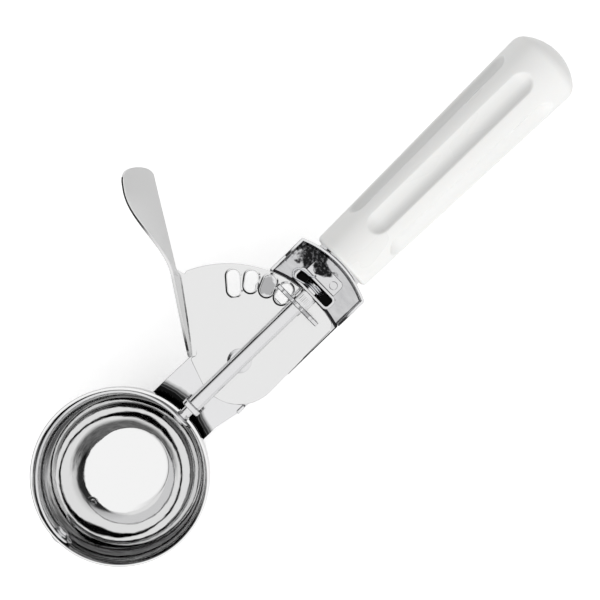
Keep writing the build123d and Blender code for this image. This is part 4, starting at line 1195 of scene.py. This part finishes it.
def satin_steel():
    """Satin stainless sheet: short fine grain along the blank turns a sharp reflection into a soft
    one, with faint smudges. Shade is painted nearly black onto the sides of the slots' lips that
    face towards the bowl."""
    material, tree, shader, place = metal("satin stainless sheet", "DCDCDC", 0.12)
    grain = add(
        tree, "ShaderNodeTexNoise", Vector=scaled(tree, place, (5, 0.12, 0.6)), Scale=1.0, Detail=4.0
    )
    waves = add(tree, "ShaderNodeTexNoise", Vector=scaled(tree, place, (18, 18, 18)), Scale=1.0, Detail=1.0)
    wavy = add(tree, "ShaderNodeBump", Height=waves.outputs["Fac"], Strength=0.12, Distance=0.5 * MM)
    brushed = add(
        tree,
        "ShaderNodeBump",
        Height=grain.outputs["Fac"],
        Normal=wavy.outputs[0],
        Strength=0.05,
        Distance=0.02 * MM,
    )
    smudge = add(tree, "ShaderNodeTexNoise", Vector=scaled(tree, place, (9, 9, 9)), Scale=1.0, Detail=3.0)
    mixed = add(
        tree,
        "ShaderNodeMath",
        {"operation": "MULTIPLY"},
        _0=grain.outputs["Fac"],
        _1=smudge.outputs["Fac"],
    )
    dull = add(
        tree,
        "ShaderNodeMapRange",
        Value=mixed.outputs[0],
        From_Min=0.1,
        From_Max=0.45,
        To_Min=0.07,
        To_Max=0.16,
    )
    tree.links.new(dull.outputs[0], shader.inputs["Roughness"])
    tree.links.new(brushed.outputs[0], shader.inputs["Normal"])
    facing = add(tree, "ShaderNodeTexCoord").outputs["Normal"]
    lie = add(
        tree, "ShaderNodeVectorMath", {"operation": "DOT_PRODUCT"}, _0=facing, _1=(-0.93, -0.37, 0)
    ).outputs["Value"]
    leaning = add(tree, "ShaderNodeMapRange", Value=lie, From_Min=0.06, From_Max=0.3).outputs[0]
    away = add(
        tree,
        "ShaderNodeVectorMath",
        {"operation": "DISTANCE"},
        _0=place,
        _1=(PIVOT_X * MM, 0, PLATE_Z[1] * MM),
    ).outputs["Value"]
    off_ring = add(
        tree, "ShaderNodeMath", {"operation": "COMPARE"}, _0=away, _1=SLOT_R * MM, _2=LIP_SHADE_REACH * MM
    ).outputs[0]
    split = add(tree, "ShaderNodeSeparateXYZ", _0=place)
    low = add(
        tree, "ShaderNodeMath", {"operation": "LESS_THAN"}, _0=split.outputs[2], _1=-11.7 * MM
    ).outputs[0]
    near_slots = add(tree, "ShaderNodeMath", {"operation": "MULTIPLY"}, _0=off_ring, _1=low).outputs[0]
    painted_lip_shade = add(tree, "ShaderNodeMath", {"operation": "MULTIPLY"}, _0=leaning, _1=near_slots).outputs[0]
    # Painted shade: lip sides near the slots that face the bowl are coloured nearly black.
    colour = add(
        tree, "ShaderNodeMix", {"data_type": "RGBA"}, Factor=painted_lip_shade, _6="DCDCDC", _7="1C1C1C"
    ).outputs[2]
    tree.links.new(colour, shader.inputs["Base Color"])
    return material


lever_parts = sector_plate() + [slot_lip(number) for number in range(SLOTS)] + flange_and_pad()
build("thumb_lever_pressing", lever_parts, satin_steel(), "lever", "satin_sheet", "thumb_lever")


# ---- Shaft: a turned bar from the bowl to the cage, thin where it runs in the front bearing and
# riveted over at the end that holds the scraper.
shaft_profile = [
    (0, 30.43), (2.0, 30.45), (2.7, 30.9), (2.7, 31.33), (1.6, 31.33), (1.6, 32.85), (2.2, 32.85),
    (2.2, 39.2), (3.0, 39.2), (3.0, 104.8), (2.6, 105.2), (0, 105.2),
]
shaft_parts = turned_piece(shaft_profile, 0.25, "x", (0.0, SHAFT_Z))
build("shaft_bar", shaft_parts, bar_steel, "scraper_shaft", "machined_steel", "shaft")


# ---- Pinion: a thin star wheel with eight blunt teeth, square to the shaft.
PINION_X = (93.65, 95.35)
TOOTH = [(2.15, 6.03), (1.15, 10.2), (0.6, 10.9), (-0.6, 10.9), (-1.15, 10.2), (-2.15, 6.03)]
TEETH = 8


def oiled_steel():
    """Stamped steel left unpolished: dark flat faces with old oil, worn bright on the edges."""
    material, tree, shader, place = metal("oiled stamped steel", "8A8A8C", 0.22)
    facing = add(tree, "ShaderNodeTexCoord").outputs["Normal"]
    split = add(tree, "ShaderNodeSeparateXYZ", _0=facing)
    flat_face = add(tree, "ShaderNodeMath", {"operation": "ABSOLUTE"}, _0=split.outputs[0]).outputs[0]
    faced = add(tree, "ShaderNodeMapRange", Value=flat_face, From_Min=0.1, From_Max=0.4).outputs[0]
    oil = add(
        tree, "ShaderNodeTexNoise", Vector=scaled(tree, place, (1.5, 1.5, 1.5)), Scale=1.0, Detail=3.0
    )
    dull = add(
        tree,
        "ShaderNodeMapRange",
        Value=oil.outputs["Fac"],
        From_Min=0.3,
        From_Max=0.7,
        To_Min=0.1,
        To_Max=0.3,
    )
    colour = add(
        tree, "ShaderNodeMix", {"data_type": "RGBA"}, Factor=faced, _6="D2D2D3", _7="3C3C3E"
    ).outputs[2]
    tree.links.new(colour, shader.inputs["Base Color"])
    tree.links.new(dull.outputs[0], shader.inputs["Roughness"])
    return material


star = []
for tooth in range(TEETH):
    swing = 2 * math.pi * tooth / TEETH
    for x, y in TOOTH:
        star.append((x * math.cos(swing) - y * math.sin(swing), x * math.sin(swing) + y * math.cos(swing)))
pinion_parts = stood(blank(rounded(star, 0.4), [circle((0, 0), 2.95)], *PINION_X, edge=0.3))
build("pinion_star", pinion_parts, oiled_steel(), "scraper_shaft", "machined_steel", "pinion")


# ---- Scraper: a strip of spring steel bent to the bowl's inside, with round ends on the shaft's
# line. It lies along the bowl's left side at rest.
SCRAPER_MID_R = 32.45
SCRAPER_T = 0.8
SCRAPER_HALF_W = 5.5
SCRAPER_TURN = math.radians(77.4)


def scraper_band():
    """The band on a ball: y across it, and in each circle of radius sqrt(R^2 - y^2) the angle runs
    past both ends by asin(sqrt(w^2 - y^2) / radius), which makes the ends round."""
    y = SCRAPER_HALF_W * np.sin(np.linspace(-math.pi / 2 + 0.02, math.pi / 2 - 0.02, 28))
    ring = np.sqrt(SCRAPER_MID_R**2 - y**2)
    past = np.arcsin(np.sqrt(SCRAPER_HALF_W**2 - y**2) / ring)
    share = np.linspace(0, 1, 150)
    angle = -past[None, :] + share[:, None] * (math.pi + 2 * past[None, :])
    x = ring * np.cos(angle)
    z = -ring * np.sin(angle)
    turned_y = y * math.cos(SCRAPER_TURN) - z * math.sin(SCRAPER_TURN)
    turned_z = y * math.sin(SCRAPER_TURN) + z * math.cos(SCRAPER_TURN) + SHAFT_Z
    return sheet(np.stack([x, turned_y, turned_z], axis=-1), SCRAPER_T, edge=0.3)


def spring_strip():
    """Cold-rolled spring strip: bright, with rolling lines that follow the band and a faint grey
    bloom where it rubs on the bowl."""
    material, tree, shader, place = metal("rolled spring strip", "D2D2D3", 0.09)
    marked(tree, shader, place, (4, 4, 0.25), 3.0, 0.06, 0.02, (0.05, 0.16))
    return material


strip_steel = spring_strip()
build("scraper_strip", scraper_band(), strip_steel, "scraper_shaft", "spring_strip", "scraper")


# ---- Far pin: riveted in the bowl's far wall, it carries the scraper's other end.
pin_profile = [
    (0, -35.3), (1.9, -35.28), (2.7, -34.9), (2.7, -34.4), (1.5, -34.4), (1.5, -31.08),
    (2.7, -31.08), (2.7, -30.6), (1.9, -30.2), (0, -30.18),
]
build(
    "far_pin_rivet",
    turned_piece(pin_profile, 0.25, "x", (0.0, SHAFT_Z)),
    bar_steel,
    "frame",
    "machined_steel",
    "far_pin",
)


# ---- Return spring: drawn wire coiled round the shaft's end inside the cage. One leg sits in the
# shaft, and the other comes up, loops round over the cage and hooks down behind its back wall.
WIRE_R = 0.4
COIL_R = 3.8
COIL_X = 102.4
COIL_PITCH = 0.86
COIL_TURNS = 2.75
HOOK_X = 107.1
HOOK_END_Z = -2.6


def tube(path, radius, sides=14):
    """A wire along a path of points: rings square to it, carried along without twist, and closed
    by half-round ends."""
    path = np.asarray(path, dtype=float)
    forward = unit(np.gradient(path, axis=0))
    side = np.cross(forward[0], [0.3, 0.5, 0.8])
    rings = []
    normals = []
    angles = np.linspace(0, 2 * math.pi, sides, endpoint=False)[:, None]
    for place, ahead in zip(path, forward):
        side = unit(side - ahead * (side @ ahead))
        spokes = np.cos(angles) * side + np.sin(angles) * np.cross(ahead, side)
        rings.append(place + radius * spokes)
        normals.append(spokes)
    for end, sign in ((0, -1), (-1, 1)):
        spokes = normals[end]
        caps = [
            (
                path[end] + radius * (math.cos(lift) * spokes + sign * math.sin(lift) * forward[end]),
                math.cos(lift) * spokes + sign * math.sin(lift) * forward[end],
            )
            for lift in np.radians([22, 45, 67, 90])
        ]
        if end == 0:
            rings = [ring for ring, _ in caps[::-1]] + rings
            normals = [normal for _, normal in caps[::-1]] + normals
        else:
            rings += [ring for ring, _ in caps]
            normals += [normal for _, normal in caps]
    return [grid(np.array(rings), np.array(normals), wrap=True)]


def curve(points, steps=9):
    """A smooth line through points: a Catmull-Rom cubic between each pair."""
    ends = np.vstack([2 * points[0] - points[1], points, 2 * points[-1] - points[-2]])
    share = np.linspace(0, 1, steps, endpoint=False)[:, None]
    runs = []
    for before, first, last, after in zip(ends[:-3], ends[1:-2], ends[2:-1], ends[3:]):
        slope = (last - before) / 2
        bend = before - 2.5 * first + 2 * last - after / 2
        runs.append(
            first + slope * share + bend * share ** 2 + (
                1.5 * (first - last) + (after - before) / 2
            ) * share ** 3,
        )
    return np.vstack([*runs, points[-1:]])


def spring_path():
    """The wire's line: inner leg, left-hand coil (COIL_R cos a, COIL_R sin a) that steps by its
    pitch along the shaft, then up, in a loop round the cage's left end, and down behind it."""
    leg_x = COIL_X + COIL_TURNS * COIL_PITCH
    turns = np.linspace(COIL_TURNS, 0, 110)
    angle = -2 * math.pi * turns
    coil = np.stack(
        [COIL_X + turns * COIL_PITCH, COIL_R * np.cos(angle), SHAFT_Z + COIL_R * np.sin(angle)], axis=-1
    )
    leg = np.array([[leg_x, 0.0, SHAFT_Z + 0.9], [leg_x, 0.0, SHAFT_Z + 2.2], [leg_x, 0.0, SHAFT_Z + 3.3]])
    loop = np.array(
        [
            (COIL_X, COIL_R, SHAFT_Z + 0.5),
            (COIL_X, COIL_R, SHAFT_Z + 2.4),
            (102.2, 4.3, -0.2),
            (101.5, 6.4, 0.8),
            (101.1, 8.6, 0.9),
            (102.4, 10.2, 0.9),
            (104.4, 9.8, 0.9),
            (105.4, 7.2, 0.9),
            (105.7, 4.8, 0.9),
            (106.5, 3.3, 0.85),
            (HOOK_X, 3.0, -0.3),
            (HOOK_X, 3.0, HOOK_END_Z),
        ],
    )
    return np.vstack([leg, coil, curve(loop)])


def spring_wire():
    """Hard-drawn spring wire: bright, with die lines along it and a slightly blue-grey cast."""
    material, tree, shader, place = metal("drawn spring wire", "C4C5C8", 0.16)
    marked(tree, shader, place, (0.3, 0.3, 0.3), 3.0, 0.08, 0.02, (0.1, 0.24))
    return material


build("spring_coil", tube(spring_path(), WIRE_R), spring_wire(), "frame", "spring_wire", "return_spring")


# ---- Handle: a tapered grip of white polypropylene moulded on the tang, with six long flutes and
# a low domed end. The mould has left a fine, slightly uneven skin.
HANDLE_X = 119.0
HANDLE_Z = -8.0
HANDLE_L = 115.7
NECK_R = 12.8
WIDE_R = 15.6
DOME_L = 7.0
CORNER_R = 5.0
NECK_EDGE = 1.4
COLLAR_L = 1.05  # the plastic reaches this far over the ring behind the end wall
FLUTES = 6
FLUTE_TURN = math.radians(3.5)
FLUTE_CUT_R = 7.0
FLUTE_DEPTH = 2.3
FLUTE_FROM = 20.0
FLUTE_TO = 93.5
FLUTE_SOFT = 0.25  # how far the flutes' edges are rounded
FLUTE_SHADE_END = 101.0  # beyond this place on the grip no shade is painted into the flutes


def grip_profile():
    """The grip's profile as (radius, place): near edge, cone, rounded corner and dome, fine enough
    to bend. The corner's centre lies r inside the cone and r inside the dome's ball."""
    dome_r = (WIDE_R**2 + DOME_L**2) / (2 * DOME_L)
    dome_centre = np.array([0.0, HANDLE_L - dome_r])
    start = np.array([NECK_R - COLLAR_L * (WIDE_R - NECK_R) / (HANDLE_L - DOME_L), -COLLAR_L])
    ahead = unit(np.array([WIDE_R, HANDLE_L - DOME_L]) - start)
    inward = np.array([-ahead[1], ahead[0]])
    inset = start + CORNER_R * inward - dome_centre
    half = inset @ ahead
    run = -half + math.sqrt(half**2 - inset @ inset + (dome_r - CORNER_R) ** 2)
    corner_centre = dome_centre + inset + run * ahead
    to_dome = unit(corner_centre - dome_centre)
    from_turn = math.degrees(math.atan2(-inward[1], -inward[0]))
    dome_turn = math.degrees(math.atan2(to_dome[1], to_dome[0]))
    corner = arc(corner_centre, CORNER_R, from_turn, dome_turn, 26)
    dome = arc(dome_centre, dome_r, dome_turn, 90, 40)
    near, _ = rounded([(4.0, -COLLAR_L), tuple(start), tuple(corner[0])], NECK_EDGE, closed=False, steps=8)
    body = np.linspace(near[-2], corner[0], 240)
    return np.vstack([near[:-1], body[1:-1], corner, dome[1:]])


def grip_skin():
    """The grip's skin. Round its axis the radius is the profile's, or less in a flute: there it is
    c cos d - sqrt(q^2 - c^2 sin^2 d), where c is the cutter's distance, d the angle from the
    flute's middle and q the cutter's radius, which falls off as a ball beyond the flute's ends."""
    profile = grip_profile()
    radius, place = profile[:, :1], profile[:, 1:]
    angle = np.linspace(0, 2 * math.pi, 480, endpoint=False)[None, :]
    grip_r = NECK_R + (WIDE_R - NECK_R) * place / (HANDLE_L - DOME_L)
    centre = grip_r + FLUTE_CUT_R - FLUTE_DEPTH
    beyond = np.maximum(np.maximum(FLUTE_FROM - place, place - FLUTE_TO), 0)
    cutter = np.sqrt(np.maximum(FLUTE_CUT_R**2 - beyond**2, 0))
    pitch = 2 * math.pi / FLUTES
    top = math.pi / 2 - FLUTE_TURN
    off = (angle - top + pitch / 2) % pitch - pitch / 2
    inside = cutter**2 - (centre * np.sin(off)) ** 2
    floor_r = np.where(inside > 0, centre * np.cos(off) - np.sqrt(np.maximum(inside, 0)), 99.0)
    gap = radius - floor_r
    skin_r = radius - 0.5 * (gap + np.sqrt(gap**2 + FLUTE_SOFT**2)) * (gap > -1.5)
    points = np.stack(
        [place + HANDLE_X + 0 * angle, skin_r * np.cos(angle), HANDLE_Z + skin_r * np.sin(angle)], axis=-1
    )
    normals = unit(np.cross(np.gradient(points, axis=0), slopes(points, 1, True)))
    outward = points - np.stack(
        [points[..., 0] * 0 + HANDLE_X + 55, 0 * skin_r, 0 * skin_r + HANDLE_Z], axis=-1
    )
    if (normals * outward).sum() < 0:
        normals = -normals
    normals[-1] = (1.0, 0.0, 0.0)
    return [grid(points, normals, wrap=True)]


def moulded_plastic():
    """White polypropylene: a soft gloss over a little light that passes under the skin, a fine
    moulded grain, and slow changes of gloss as from handling. Where the flutes face the lever's
    side, a little grey shade is painted into them."""
    material = bpy.data.materials.new("moulded white polypropylene")
    material.use_nodes = True
    tree = material.node_tree
    shader = tree.nodes["Principled BSDF"]
    place = add(tree, "ShaderNodeTexCoord").outputs["Object"]
    shader.inputs["Subsurface Weight"].default_value = 0.15
    shader.inputs["Subsurface Radius"].default_value = (1.0, 0.9, 0.8)
    shader.inputs["Subsurface Scale"].default_value = 1.2 * MM
    grain = add(
        tree, "ShaderNodeTexNoise", Vector=scaled(tree, place, (0.5, 0.5, 0.5)), Scale=1.0, Detail=3.0
    )
    sink = add(tree, "ShaderNodeTexNoise", Vector=scaled(tree, place, (26, 12, 12)), Scale=1.0, Detail=1.0)
    sunk = add(tree, "ShaderNodeBump", Height=sink.outputs["Fac"], Strength=0.15, Distance=0.6 * MM)
    skin = add(
        tree,
        "ShaderNodeBump",
        Height=grain.outputs["Fac"],
        Normal=sunk.outputs[0],
        Strength=0.06,
        Distance=0.03 * MM,
    )
    gloss = add(
        tree,
        "ShaderNodeMapRange",
        Value=sink.outputs["Fac"],
        From_Min=0.3,
        From_Max=0.7,
        To_Min=0.26,
        To_Max=0.4,
    )
    tint = add(
        tree, "ShaderNodeMix", {"data_type": "RGBA"}, Factor=sink.outputs["Fac"], _6="F1F1EF", _7="F6F6F5"
    )
    from_axis = add(
        tree,
        "ShaderNodeVectorMath",
        {"operation": "SUBTRACT"},
        _0=place,
        _1=(HANDLE_X * MM, 0, HANDLE_Z * MM),
    ).outputs[0]
    split = add(tree, "ShaderNodeSeparateXYZ", _0=from_axis)
    level = add(
        tree, "ShaderNodeVectorMath", {"operation": "MULTIPLY"}, _0=from_axis, _1=(0, 1, 1)
    ).outputs[0]
    across = add(tree, "ShaderNodeVectorMath", {"operation": "LENGTH"}, _0=level).outputs["Value"]
    cone = add(
        tree,
        "ShaderNodeMath",
        {"operation": "MULTIPLY_ADD"},
        _0=split.outputs[0],
        _1=(WIDE_R - NECK_R) / (HANDLE_L - DOME_L),
        _2=NECK_R * MM,
    ).outputs[0]
    depth = add(tree, "ShaderNodeMath", {"operation": "SUBTRACT"}, _0=cone, _1=across).outputs[0]
    short = add(
        tree, "ShaderNodeMath", {"operation": "LESS_THAN"}, _0=split.outputs[0], _1=FLUTE_SHADE_END * MM
    ).outputs[0]
    sunken = add(tree, "ShaderNodeMapRange", Value=depth, From_Min=0.05 * MM, From_Max=0.9 * MM).outputs[0]
    in_flute = add(tree, "ShaderNodeMath", {"operation": "MULTIPLY"}, _0=sunken, _1=short).outputs[0]
    facing = add(
        tree, "ShaderNodeSeparateXYZ", _0=add(tree, "ShaderNodeTexCoord").outputs["Normal"]
    ).outputs[1]
    turned = add(tree, "ShaderNodeMapRange", Value=facing, From_Min=0.0, From_Max=0.4).outputs[0]
    painted_flute_shade = add(tree, "ShaderNodeMath", {"operation": "MULTIPLY"}, _0=in_flute, _1=turned).outputs[0]
    # Painted shade: flute sides that face the lever's side are coloured a little grey.
    colour = add(
        tree, "ShaderNodeMix", {"data_type": "RGBA"}, Factor=painted_flute_shade, _6=tint.outputs[2], _7="E1E1E0"
    )
    tree.links.new(colour.outputs[2], shader.inputs["Base Color"])
    tree.links.new(gloss.outputs[0], shader.inputs["Roughness"])
    tree.links.new(skin.outputs[0], shader.inputs["Normal"])
    return material


build("grip", grip_skin(), moulded_plastic(), "frame", "white_plastic", "handle")


# ---- Hub, washers and the tang with its pins: turned pieces whose solids have their true shape,
# finished in the same turned steel.
for name in (
    "pinion_hub",
    "pivot_washer",
    "scraper_washer",
    "far_washer",
    "neck_washer",
    "tang",
    "tang_pins",
):
    nodes[name].data.materials.clear()
    nodes[name].data.materials.append(bar_steel)
